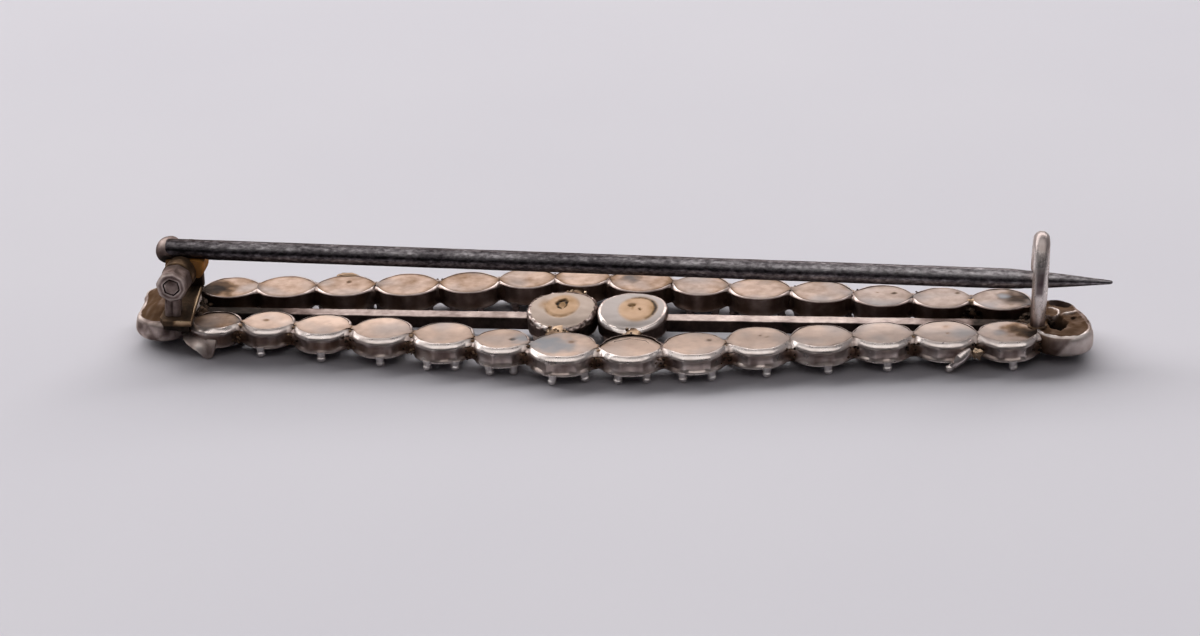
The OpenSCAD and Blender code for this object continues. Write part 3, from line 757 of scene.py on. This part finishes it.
def bar_and_ties():
    """The bar on both sides of the centre pair, and the solder ties that hold the pair."""
    def bar(x, corner):
        y, z = corner
        d = 0.012 * wobble((x, y, z), 0.7, 2) + 0.006 * wobble((x, y, z), 3, 5)
        # dark tarnish and painted shade on the bar below its top
        g = (0.44 if x < 0 else 0.36) if z > 1.1 else 0.88
        g += 0.35 * clamp((abs(x) - 14.5) / 3) * (0.7 + wobble((x, y, z), 1.8, 3))
        g += 0.5 * clamp((abs(x) - (17.0 if x < 0 else 18.4)) / 0.7)
        return (x, y + d, z + (d if z > 1 else 0)), g, 0.0

    shape = Shape()
    reach = CENTRE_W / 2 - 0.15
    for x0, x1 in ((-BAR_END, CENTRE_XS[0] - reach), (CENTRE_XS[1] + reach, BAR_END)):
        stations = [x0 + (x1 - x0) * k / BAR_STEPS for k in range(BAR_STEPS + 1)]
        shape.rings(stations, BAR_SECTION, bar)
    shape.make("middle_bar", "matte")

    ties = Shape()
    for x, side, width, far in TIES:
        def tie(k, t):
            y = side * (TIE_FROM + (far - TIE_FROM) * k / TIE_STEPS)
            pinch = 0.82 + 0.3 * (2 * k / TIE_STEPS - 1) ** 2
            p = (x + width * 0.5 * pinch * cos(t), y, 1.02 + 0.3 * sin(t))
            d = 0.07 * wobble(p, 2.4, 5) + 0.03 * wobble(p, 6, 2)
            # painted shade: the lower side of each tie is darker
            g = 0.32 + 0.5 * wobble(p, 1.9, 8) + (0.4 if sin(t) < 0.3 else 0)
            return (p[0] + d * cos(t), p[1], min(1.4, p[2] + d * sin(t))), g, 0.0

        ties.rings(range(TIE_STEPS + 1), turns(24), tie)
    for k in range(TIE_GRAINS):
        x, side = rng.choice(((-2.55, -1), (1.4, -1), (0.85, 1), (-2.1, 1)))
        box = ((-0.5, 0.5), (2.05, 3.0), (1.2, 1.34))
        grain(ties, x, 0, side, box, (0.06, 0.12), (1, 1, 0.8), (0.0, 0.5), 0.2, k, 10)
    ties.make("centre_ties", "solder")


# the two ends: a wall from inside its lip up to the rim: (in from the outside, height)
END_PROFILE = [
    (0.75, 0.62), (0.42, 0.6), (0.34, 0.5), (0.26, 0.45), (0.15, 0.46), (0.07, 0.53), (0.03, 0.62),
    (0.01, 0.74), (0.0, 0.88), (0.0, 1.02), (0.01, 1.15), (0.03, 1.26), (0.07, 1.35), (0.12, 1.42),
    (0.18, 1.465), (0.24, 1.49)]
END_AROUND, END_STEPS = 160, 26


def way_out(origin, t, circles, outline):
    """How far it is from a point to the outside of some circles and a polygon, in one direction."""
    dx, dy = cos(t), sin(t)
    best = 0.0
    for x, y, r in circles:
        along = (x - origin[0]) * dx + (y - origin[1]) * dy
        inside = along ** 2 - ((x - origin[0]) ** 2 + (y - origin[1]) ** 2 - r * r)
        if inside > 0:
            best = max(best, along + sqrt(inside))
    for (ax, ay), (bx, by) in zip(outline, outline[1:] + outline[:1]):
        ax, ay, bx, by = ax - origin[0], ay - origin[1], bx - origin[0], by - origin[1]
        det = dx * (by - ay) - dy * (bx - ax)
        if abs(det) > 1e-9:
            q = (ax * (by - ay) - ay * (bx - ax)) / det
            s = (ax * dy - ay * dx) / det
            if q > 0 and -1e-6 <= s <= 1 + 1e-6:
                best = max(best, q)
    return best


def terminal(name, origin, circles, outline, top, tone, rough, seed):
    """A rounded end: a wall round some collets, and a top of a given height at each point."""
    reach = [way_out(origin, t, circles, outline) for t in turns(END_AROUND)]
    reach = [sum(reach[(j + m) % END_AROUND] for m in range(-2, 3)) / 5 for j in range(END_AROUND)]

    def point(level, j):
        inward, z, share = level
        t = TAU * j / END_AROUND
        on_wall = share is None
        q = reach[j] - inward if on_wall else max(0.02, (reach[j] - 0.25) * share)
        x, y = origin[0] + q * cos(t), origin[1] + q * sin(t)
        p = (x, y, z if on_wall else top(x, y, reach[j] - q))
        d = rough * (wobble(p, 1.2, seed) + 0.5 * wobble(p, 3.2, seed)) if on_wall else 0
        at = (x + d * cos(t), y + d * sin(t), p[2] + d * 0.4)
        return at, *tone(p, degrees(t) % 360, reach[j] - q)

    levels = [(inward, z, None) for inward, z in END_PROFILE]
    levels += [(None, None, 1 - k / END_STEPS) for k in range(END_STEPS + 1)]
    Shape().rings(levels, range(END_AROUND), point, ends=(False, True)).make(name, "matte")


def web(name, side):
    """The dark uneven solder between two end collets and the bar."""
    shape = Shape()
    middle = 22.15 if side > 0 else -22.2
    lump(shape, (middle, 0.0, 0.9), (0.75, 1.2, 0.4), 0.97, 0.1, side, 24)
    for k in range(WEB_GRAINS):
        box = ((-0.85, 0.75), (-1.15, 1.15), (1.0, 1.18))
        grain(shape, middle, 0, 1, box, (0.12, 0.3), (1, 1.2, 0.7), (0.75, 1.0), 0.3, k, 12)
    shape.make(name, "solder")


def right_end():
    """The catch's end, with dark pockets, a ridge and a ring in its top."""
    # depth, then place and half width and half depth along the surface
    pockets = [(0.5, (23.42, 1.95, 0.5, 0.36)), (0.6, (23.12, -0.6, 0.44, 0.72)),
               (0.3, (24.55, 0.6, 0.25, 0.12)), (0.2, (23.93, 0.05, 0.14, 0.16))]

    def pocket_at(x, y, spot):
        middle_x, middle_y, half_x, half_y = spot
        d = hypot((x - middle_x) / half_x, (y - middle_y) / half_y) + 0.3 * wobble((x, y, 1), 2.6, 4)
        return clamp((1.25 - d) / 0.45)

    def ridge_at(x, y):
        return exp(-((y - 0.62 - 0.45 * (x - 23.7)) / 0.13) ** 2) * clamp((x - 23.2) / 0.4)

    def ring_at(x, y):
        return band(hypot((x - 22.8) / 0.4, (y - 0.7) / 0.6), 1, 0.25) * (x > 22.6)

    def top(x, y, inward):
        z = RIM_Z - 0.02 * max(0, 0.35 - inward) - 0.1 * clamp((inward - 0.3) / 0.3)
        z += 0.06 * wobble((x, y, 0), 1.6, 3) + 0.04 * wobble((x, y, 0), 4.5, 3)
        z += 0.1 * ridge_at(x, y) * (inward > 0.2) + 0.08 * ring_at(x, y)
        z -= sum(depth * pocket_at(x, y, spot) for depth, spot in pockets)
        return min(z, RIM_Z)

    def tone(p, angle, inward):
        x, y, z = p
        if z < 1.45 and inward < 0.26:
            turn = (angle + 180) % 360 - 180
            # painted light on the facet that faces the front right; brown where the wall faces the front left
            light = clamp((turn + 98 - 17 * (z - 0.5)) / 5) if turn < 60 else 0.0
            brown = clamp((-90 - turn) / 20)
            return 0.58 - 0.4 * light + 0.2 * wobble(p, 0.9, 5) * (1.3 - light), 0.8 * brown
        if inward < 0.36:
            # painted highlight: the rim is lighter on its near side
            near = clamp((angle - 200) / 10, (325 - angle) / 25)
            return 0.5 - 0.42 * near + 0.15 * wobble(p, 2.0, 3), 0.4 * (1 - near)
        dark = max(pocket_at(x, y, spot) for _, spot in pockets)
        raised = max(ridge_at(x, y), ring_at(x, y))
        g = 0.64 + 0.4 * wobble((x, y, 0), 1.8, 2) + 0.9 * dark + 0.3 * (x < 22.7) - 0.5 * raised
        return g, 0.85 * (1 - dark) * (1 - raised)

    x0, y0, r0 = place(-1, FRONT_ROW, 15)
    x1, y1, r1 = place(1, BACK_ROW, 15)
    outline = [(x0 - 0.3, y0 - 0.6), (x0 + 1.0, y0 - 0.9), (x0 + 1.52, y0 + 0.9), (24.6, 0.45), (24.32, 1.2),
               (23.75, 1.95), (23.2, 2.5), (x1 - 0.4, y1 + 0.6)]
    circles = [(x0, y0, r0), (x1 - 0.1, y1, r1 * 0.86)]
    terminal("right_end", (23.25, 0.0), circles, outline, top, tone, 0.035, 3)
    web("right_web", 1)


def left_end():
    """The hinge's end, which rises to the hinge's plate."""
    def top(x, y, inward):
        z = RIM_Z + 0.36 * clamp((inward - 0.22) / 1.15) ** 1.2
        z += 0.03 * wobble((x, y, 0), 1.9, 7) + 0.02 * wobble((x * 2.5, y * 0.6, 0), 2.2, 5)
        return min(BASE_Z - 0.01, z) if inward > 0.24 else RIM_Z

    def tone(p, angle, inward):
        x, y, z = p
        if z < 1.32 and inward < 0.3:
            brown = 0.25 * max(0.0, wobble(p, 1.6, 4))
            return 0.42 + 0.6 * wobble(p, 1.3, 11) + 0.2 * wobble(p, 4.0, 2), brown
        if inward < 0.33:
            return 0.34 + 0.3 * wobble(p, 1.5, 3), 0.1
        stroke = wobble((x * 3.0, y * 0.4, 0), 1.5, 6)
        return 0.62 + 0.4 * stroke, 0.98 - 0.35 * max(0.0, -stroke)

    outline = [(-25.0, -1.3), (-24.55, -2.2), (-23.92, -2.84), (-23.2, -2.95), (-22.6, -2.6), (-22.0, -1.0),
               (-22.0, 1.0), (-22.5, 2.7), (-23.82, 2.7), (-24.72, 2.1), (-25.2, 1.2)]
    circles = [place(-1, FRONT_ROW, 0), place(1, BACK_ROW, 0)]
    terminal("left_end", (-23.4, -0.2), circles, outline, top, tone, 0.08, 13)
    web("left_web", -1)


# the hinge: its axis, radii, and the top of its plate
HINGE_X, HINGE_Z, TUBE_R, RIVET_R, BASE_Z = -22.62, 3.55, 0.84, 0.42, 1.9
# its near tube and far ear along Y, and the rivet's near end; the rivet's far end is the ear's
TUBE_Y0, TUBE_Y1, EAR_Y0, EAR_Y1, RIVET_Y0 = -2.9, -1.62, 1.44, 1.94, -2.89


def prism(shape, outline, low, high, tone, bevel=0.05):
    """A plate with rounded upper edges; its outline is from the hinge's axis, tone(point, edge) its tone of
    tarnish and painted light.
    """
    corners = [Vector((HINGE_X + u, y, 0)) for u, y in outline]
    fine = []
    for a, b in zip(corners, corners[1:] + corners[:1]):
        count = max(1, int((b - a).length / 0.22))
        fine += [a.lerp(b, m / count) for m in range(count)]
    centre = sum(fine, Vector()) / len(fine)

    def point(level, p):
        inward, z, edge = level
        d = p - centre
        q = centre + d * max(0.02, 1 - inward / max(0.2, d.length))
        return (q.x, q.y, z), tone(q, edge), 0.0

    levels = [(0.0, low, False)]
    levels += [(bevel * (1 - cos(v)), high - bevel * (1 - sin(v)), True) for v in (0, pi / 6, pi / 3, pi / 2)]
    levels += [(inward, high, False) for inward in (0.2, 0.5, 0.9, 1.4, 2.0, 4.0)]
    return shape.rings(levels, fine, point)


def along_y(shape, section, y0, y1, tone, bevel):
    """A bar along Y of a section round the hinge's axis, with rounded ends; tone(point) is its grime."""
    def point(station, corner):
        y, less = station
        u, w = corner
        k = 1 - less / hypot(u, w)
        p = (HINGE_X + u * k, y, HINGE_Z + w * k)
        return p, tone(p), 0.0

    stations = [(y0, bevel), (y0 + bevel * 0.3, bevel * 0.3), (y0 + bevel, 0), (y1 - bevel, 0),
                (y1 - bevel * 0.3, bevel * 0.3), (y1, bevel)]
    return shape.rings(stations, section, point)


def circle(r, n, flats=0, share=0.0, phase=0.0):
    """A circle of n points round the hinge's axis, (along, up), worn into flats if their number is given."""
    found = []
    for j in range(n):
        a = 360 * j / n
        q = r * (1 - share * facet(a, flats, phase)) if flats else r
        found.append((q * cos(radians(a)), q * sin(radians(a))))
    return found


def hinge():
    """The fixed part of the hinge: plate, near tube on its posts, far ear and the rivet's ends."""
    def plate_tone(p, edge):
        # painted highlight along the plate's right edge
        if edge and p.x > HINGE_X + 0.2:
            return 0.05
        return 0.8 + 0.22 * wobble((p.x * 2.5, p.y * 0.3, 0), 2.0, 6)

    outline = [(-0.75, -2.85), (-0.45, -3.45), (1.04, -3.5), (0.35, 2.7), (-0.75, 2.7)]
    prism(Shape(), outline, 1.62, BASE_Z, plate_tone, 0.045).make("hinge_plate", "brass")
    outline = [(-0.6, -2.9), (0.86, -3.3), (0.25, 2.6), (-0.6, 2.6)]
    prism(Shape(), outline, 1.2, 1.64, lambda p, edge: 0.95).make("hinge_plate_underside", "solder")

    outside = circle(TUBE_R, 64, 8, 0.75, 10)
    small = [(u * 0.86, w * 0.86) for u, w in outside]
    hole = circle(RIVET_R + 0.03, 64)
    wide = circle(RIVET_R + 0.07, 64, 6, 0.9, 20)
    middle = [((a + c) / 2, (b + d) / 2) for (a, b), (c, d) in zip(wide, small)]
    y0, y1 = TUBE_Y0, TUBE_Y1
    # section, place along Y, grime, whether it is part of the uneven near end
    stations = [(hole, y1, 0.95, False), (hole, y0 + 0.14, 0.95, False), (wide, y0 + 0.13, 0.95, True),
                (wide, y0 + 0.03, 0.3, True), (middle, y0 + 0.03, 0.66, True), (small, y0, 0.3, True),
                (outside, y0 + 0.14, 0.56, False)]
    stations += [(outside, y, 0.72, False) for y in (y0 + 0.3, y0 + 0.6, y1 - 0.3, y1 - 0.05)]
    stations.append((small, y1, 0.72, False))

    def tube_point(station, j):
        section, y, g, near_end = station
        u, w = section[j]
        k = 1 if section is hole else 1 + 0.03 * wobble((u, y, w), 1.8, 21)
        g += 0.2 * wobble((u, y, w), 2.2, 5)
        if near_end:
            y += 0.03 * wobble((u, 0, w), 1.5, 4)
        return (HINGE_X + u * k, y, HINGE_Z + w * k), g, 0.0

    Shape().rings(stations, range(64), tube_point, loop=True).make("hinge_tube", "matte", sharp=25)

    post = Shape()
    for k, (u, w) in enumerate(((-0.3, 0.2), (0.06, 0.2))):
        path = [(HINGE_X + u + 0.03, -2.6, 1.8), (HINGE_X + u, -2.55, 2.2), (HINGE_X + u + 0.05, -2.5, 2.75)]
        tube(post, path, [w * 1.25, w, w * 1.2], 16, 0.58, 0.06, k)
    outline = [(-0.42, -2.7), (0.2, -2.7), (0.2, -1.75), (-0.42, -1.75)]
    prism(post, outline, 1.8, 2.95, lambda p, edge: 0.75).make("hinge_post", "matte")
    arch = [(min(0.6, TUBE_R * cos(radians(a))), TUBE_R * sin(radians(a))) for a in range(8, 180, 8)]
    section = [(0.55, -1.75), (0.6, 0), *arch, (-TUBE_R, 0), (-TUBE_R, -1.75)]
    along_y(Shape(), section, EAR_Y0, EAR_Y1, lambda p: 0.85, 0.04).make("hinge_ear", "brass")

    section = circle(RIVET_R, 42, 6, 0.9, 20)
    rivet = along_y(Shape(), section, RIVET_Y0, EAR_Y1, lambda p: 0.52 + 0.3 * wobble(p, 2.0, 3), 0.08)
    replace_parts(rivet.make("hinge_rivet_head", "matte", slot="rivet_metal"), "hinge_rivet")


# the pin: its height over the hinge's axis, its fall in degrees, and how the visible one differs from the CAD
STEM_RISE, STEM_FALL, STEM_LIFT, STEM_THICKER = 0.98, 1.35, 0.05, 1.05
# the stem is cut flat below at this height over the axis, up to this far from it; the barrel along Y
FLAT_Z, ROOT_REACH, BARREL_Y0, BARREL_Y1 = 0.662, 1.37, -1.56, 1.38
# the stem's radius: (along, radius) at its root and from its last part to the point
STEM_ROOT = [(-23.45, 0.4), (-23.42, 0.46), (-23.35, 0.492), (-23.2, 0.5)]
STEM_POINT = [
    (20.65, 0.495), (21.1, 0.47), (21.45, 0.44), (22.1, 0.41), (22.65, 0.378), (23.3, 0.325), (24.0, 0.262),
    (24.7, 0.197), (25.3, 0.14), (25.7, 0.1), (25.8, 0.075), (25.85, 0.03)]
# painted reflection bands on the stem by its height as seen from the near side, from the top edge (1) to the
# bottom edge (-1)
STEEL_REFLECTION_BANDS = [
    (1.0, 0.85), (0.85, 0.66), (0.6, 0.5), (0.3, 0.42), (0.1, 0.44), (-0.04, 0.62), (-0.12, 0.9),
    (-0.3, 0.88), (-0.4, 0.62), (-0.62, 0.54), (-0.8, 0.7), (-1.0, 0.9)]
# the block under the stem's root, from the hinge's axis: (along, up)
SADDLE = [
    (-0.85, 0.2), (-0.8, 0.62), (-0.4, 0.65), (0.2, 0.65), (0.8, 0.64), (1.12, 0.62), (1.22, 0.54),
    (1.22, 0.3), (1.19, 0.0), (1.12, -0.18), (0.98, -0.24), (0.8, -0.2), (0.6, 0.0), (0.3, 0.1), (-0.3, 0.1)]


def steel_reflection_tone(height):
    """The stem's painted reflection tone at a height from 1 to -1."""
    for (high, a), (low, b) in zip(STEEL_REFLECTION_BANDS, STEEL_REFLECTION_BANDS[1:]):
        if height >= low:
            return b + (a - b) * (height - low) / (high - low)
    return STEEL_REFLECTION_BANDS[-1][1]


def stem():
    """The steel stem, cut flat under its root and tapering to the point."""
    def point(station, t):
        x, r = station
        middle = HINGE_Z + STEM_RISE + STEM_LIFT - (x - HINGE_X) * tan(radians(STEM_FALL))
        q = r * STEM_THICKER + 0.005 * wobble((x * 0.6, 3 * cos(t), 3 * sin(t)), 1.5, 6)
        z = middle + q * sin(t)
        if x < HINGE_X + ROOT_REACH:
            z = max(z, HINGE_Z + FLAT_Z)
        worn = 0.13 * clamp((x - 2) / 8) - 0.04 - 0.12 * clamp((-20.5 - x) / 1.5)
        # painted reflection bands round the stem, and a wobble of mottling
        g = steel_reflection_tone(cos(t - radians(67))) + 0.12 * wobble((x * 0.5, cos(t), sin(t)), 1.2, 9) - worn
        return (x, q * cos(t), z), g, 0.0

    even = [-22.9 + 0.35 * k for k in range(125)]
    stations = STEM_ROOT + [(x, 0.5 + 0.006 * wobble((x, 0, 0), 0.8, 4)) for x in even] + STEM_POINT
    obj = Shape().rings(stations, turns(48), point).make("pin_steel", "steel", PIN, "stem_steel")
    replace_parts(obj, "pin_stem")


def barrel():
    """The barrel on the rivet, the block under the stem's root and the lump that stops the open pin."""
    outside, hole = circle(TUBE_R, 56), circle(RIVET_R + 0.05, 56)
    y0, y1 = BARREL_Y0, BARREL_Y1
    stations = [(hole, y1, 0), (hole, y0, 0), (outside, y0, 0.05), (outside, y0 + 0.05, 0)]
    stations += [(outside, y, 0) for y in (-0.75, -0.56, -0.5, 0.0, 0.5, 0.56, 1.0, y1 - 0.05)]
    stations.append((outside, y1, 0.05))

    def barrel_point(station, j):
        section, y, less = station
        u, w = section[j]
        k = 1 - less / TUBE_R
        z = w * k
        if section is outside and abs(y) < 0.52:
            z = min(z, 0.645)
        # painted shade: the barrel is darker below its axis
        g = 0.6 + 0.4 * max(0, wobble((u * 1.3, y, w), 1.5, 3)) + (0.2 if w < 0 else 0)
        return (HINGE_X + u * k, y, HINGE_Z + z), g, 0.0

    shell = Shape().rings(stations, range(56), barrel_point, loop=True)
    barrel_obj = shell.make("pin_barrel_shell", "brass", PIN, "barrel_brass")
    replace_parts(barrel_obj, "pin_barrel")

    def saddle_point(k, corner):
        u, w = corner
        y = -0.78 + 1.5 * k / 12
        d = 0.02 * wobble((u, y, w), 2.0, 3)
        less = 0.05 if k in (0, 12) else 0.0
        at = (HINGE_X + u + d - less * (1 if u > 0 else -1), y + 0.12 * w, HINGE_Z + w - less * (w < 0))
        # painted highlight: lighter towards the upper right of its top
        g = 0.72 - 0.35 * max(0.0, u / 1.2) * (w > 0.1) + 0.35 * wobble((u * 1.4, y, w * 1.5), 1.6, 7)
        return at, g, clamp(0.6 + 0.5 * u) * (0.95 if w > -0.15 else 0.5)

    Shape().rings(range(13), SADDLE, saddle_point).make("pin_saddle", "brass", PIN, "barrel_brass")

    def hump_point(v, t):
        size = max(0.02, sin(v)) ** 0.8
        u, y, w = -0.8 + 0.68 * size * cos(t), 0.32 - 0.86 * cos(v), 0.85 + 0.69 * size * sin(t)
        p = (HINGE_X + u, y, HINGE_Z + w)
        d = 0.03 * wobble(p, 1.6, 5)
        # painted light and shade: the lump is lighter on top and darker below
        g = 0.78 + 0.3 * wobble((u, y, w), 1.6, 5) - 0.24 * sin(t) - 0.04 * cos(t)
        return (p[0] + d * cos(t), y, p[2] + d * sin(t)), g, 0.0

    hump = Shape().rings([pi * k / 24 for k in range(25)], turns(56), hump_point)
    hump.make("pin_lump", "matte", PIN, "barrel_brass")


# the catch's hook: its foot, the middle, radius and height of its arch, and its lean in degrees
HOOK_X, HOOK_Y, HOOK_R, HOOK_RISE, HOOK_LEAN = 22.05, 0.15, 1.4, 4.22 - 1.5, 2.4
# the height from which its near limb bows out, and the wire's radius at its foot and its end
BOW_FROM, WIRE_FOOT_R, WIRE_R = 1.4, 0.37, 0.41


def catch():
    """A bent wire: the near limb bows out over most of its height, the far one is a plain half round."""
    def at(y, z):
        lean = radians(HOOK_LEAN)
        return Vector((HOOK_X + z * sin(lean), y, RIM_Z + z * cos(lean)))

    path = [at(HOOK_Y - HOOK_R, z) for z in (-0.3, 0.0, 0.3, 0.6, 0.9, 1.2)]
    for a in [*range(0, 90, 5), *range(90, 206, 6)]:
        t = radians(a)
        low, high = (BOW_FROM, HOOK_RISE + HOOK_R - BOW_FROM) if a < 90 else (HOOK_RISE, HOOK_R)
        path.append(at(HOOK_Y - HOOK_R * cos(t), low + high * sin(t)))
    radii = [WIRE_FOOT_R + (WIRE_R - WIRE_FOOT_R) * min(1, k / 8) for k in range(len(path))]
    end, ahead = path[-1], (path[-1] - path[-2]).normalized()
    for d, share in ((0.12, 0.96), (0.22, 0.85), (0.31, 0.65), (0.37, 0.4), (0.4, 0.12)):
        path.append(end + ahead * d)
        radii.append(WIRE_R * share)

    def point(level, t):
        p, radius, side, other = level
        d = side * cos(t) + other * sin(t)
        q = p + d * radius * (1 + 0.02 * wobble(p + d, 2.0, 3))
        # from the near side: a painted dark purple reflection in the middle of the limb, brown at its left
        # and at its foot, and painted grey shade over the top
        middle = max(0.0, 1 - abs(d.x + 0.06) / 0.66) * (d.y < 0)
        limb = clamp((q.z - 3.15) / 0.25, (4.7 - q.z) / 0.4)
        left = max(0.0, -d.x - 0.55) * clamp((4.6 - q.z) / 0.6)
        foot_dirt = max(0.0, 1 - (q.z - RIM_Z) / 0.7)
        top_dull_shade = clamp((q.z - 5.35) / 0.25)
        g = 0.06 + 0.9 * left + 0.75 * foot_dirt + 0.14 * top_dull_shade + 0.16 * wobble(q, 1.2, 3)
        return q, g, 0.4 * top_dull_shade + 0.95 * limb * min(1.0, 2 * middle) * (0.8 + 0.5 * wobble(q, 2.0, 8))

    Shape().rings(sections(path, radii, Vector((1, 0, 0))), turns(48), point).make("catch_hook", "wire")
    lump(Shape(), (HOOK_X, -1.25, RIM_Z), (0.5, 0.45, 0.12), 0.7, 0.15, 2).make("catch_solder", "solder")


# the flared tab's edge from left to right: (x, y at the top, height there, y at the bottom, height there)
TAB = [
    (-22.15, -2.6, 1.0, -3.2, 0.82), (-21.9, -2.75, 1.0, -3.55, 0.7), (-21.6, -2.95, 1.0, -3.75, 0.56),
    (-21.3, -3.2, 1.0, -3.86, 0.42), (-21.05, -3.4, 0.98, -3.92, 0.24), (-20.9, -3.5, 0.97, -3.95, 0.06),
    (-20.7, -3.56, 0.96, -3.96, 0.03), (-20.5, -3.58, 0.95, -3.93, 0.1), (-20.38, -3.58, 0.94, -3.84, 0.42),
    (-20.3, -3.58, 0.93, -3.74, 0.7)]
# the bent prong's path from the corner of its collet's box, (along, across, height), and its radii
PRONG = [(1.2, 0.5, 1.0), (1.0, 0.25, 0.9), (0.75, 0.02, 0.72), (0.5, -0.06, 0.5), (0.3, -0.04, 0.3)]
PRONG_RADII = [0.16, 0.23, 0.25, 0.21, 0.19]


def odd_claws():
    """The near row's odd claws: a flared tab near the hinge and a bent prong near the catch."""
    def tab_point(edge, k):
        x, y_top, z_top, y_low, z_low = edge
        v = k / 6 if k < 7 else (13 - k) / 6
        y, z = y_top + (y_low - y_top) * v, z_top + (z_low - z_top) * v
        if k < 7:
            p = (x, y - 0.09 * sin(pi * v) - 0.06 * wobble((x, v, 1), 4.0, 2), z)
        else:
            p = (x + 0.02, y + 0.2, z - 0.04)
        return p, 0.3 + 0.5 * wobble((x * 3, p[1], p[2] * 0.5), 1.5, 3), 0.0

    Shape().rings(TAB, range(14), tab_point).make("flared_tab", "matte")

    x, y, r = place(-1, FRONT_ROW, 13)
    y -= r
    prong = Shape()
    tube(prong, [(x + u, y + v, z) for u, v, z in PRONG], PRONG_RADII, 20, 0.12, 0.16, 4)
    lump(prong, (x + 0.22, y - 0.02, 0.21), (0.23, 0.23, 0.21), 0.05, 0.06, 1)
    for k in range(7):
        at = (x + 0.42 + 0.12 * k, y - 0.08 + 0.07 * k, 0.55 + 0.07 * k)
        lump(prong, at, (0.1, 0.08, 0.07), 0.05 if k % 2 else 0.6, 0.3, k, 10)
    prong.make("odd_claws", "silver")

    solder = Shape()
    lump(solder, (x + 1.62, y + 0.42, 0.84), (0.25, 0.18, 0.28), 0.12, 0.3, 8, 12)
    jx, jy = join_point(1, BACK_ROW, 13)
    for k in range(ODD_GRAINS):
        box = ((-0.55, 0.5), (0.0, 0.25), (0.75, 1.3))
        grain(solder, jx, jy - 1.0, -1, box, (0.08, 0.2), (1, 0.7, 0.8), (0.6, 1.0), 0.3, k, 10)
    lump(solder, (jx + 0.02, jy - 0.35, 1.4), (0.26, 0.3, 0.1), 0.3, 0.3, 3, 14)
    solder.make("odd_solder", "solder")


def stage():
    """The floor and the lights."""
    mesh = bpy.data.meshes.new("floor")
    corners = [(x * FLOOR_HALF, y * FLOOR_HALF, 0) for x, y in ((-1, -1), (1, -1), (1, 1), (-1, 1))]
    mesh.from_pydata(corners, [], [(0, 1, 2, 3)])
    mesh.materials.append(MAT["floor"])
    obj = bpy.data.objects.new("floor", mesh)
    bpy.context.scene.collection.objects.link(obj)
    area_light("window", WINDOW_AT, WINDOW_SIZE, WINDOW_POWER, WINDOW_COLOUR)
    # the rest of the window's light is kept off the polished metal
    area_light("window_glow", WINDOW_AT, WINDOW_SIZE, GLOW_POWER, WINDOW_COLOUR).visible_glossy = False
    # a pale strip of ceiling that shows only as a gleam on the rounded edges
    area_light("ceiling_strip", STRIP_AT, STRIP_SIZE, STRIP_POWER, STRIP_COLOUR).visible_diffuse = False


camera()
world()
stage()
rows()
centre_pair()
bar_and_ties()
right_end()
left_end()
hinge()
stem()
barrel()
catch()
odd_claws()

frame_pieces = bpy.data.objects["front_collets"]
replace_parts(frame_pieces, "frame")
for name, obj in frame["nodes"].items():
    if "stone" in name:
        obj.data.materials.clear()
        obj.data.materials.append(MAT["stone"])

bpy.context.scene.view_settings.view_transform = "Standard"
bpy.context.scene.view_settings.look = "None"

bpy.context.view_layer.update()
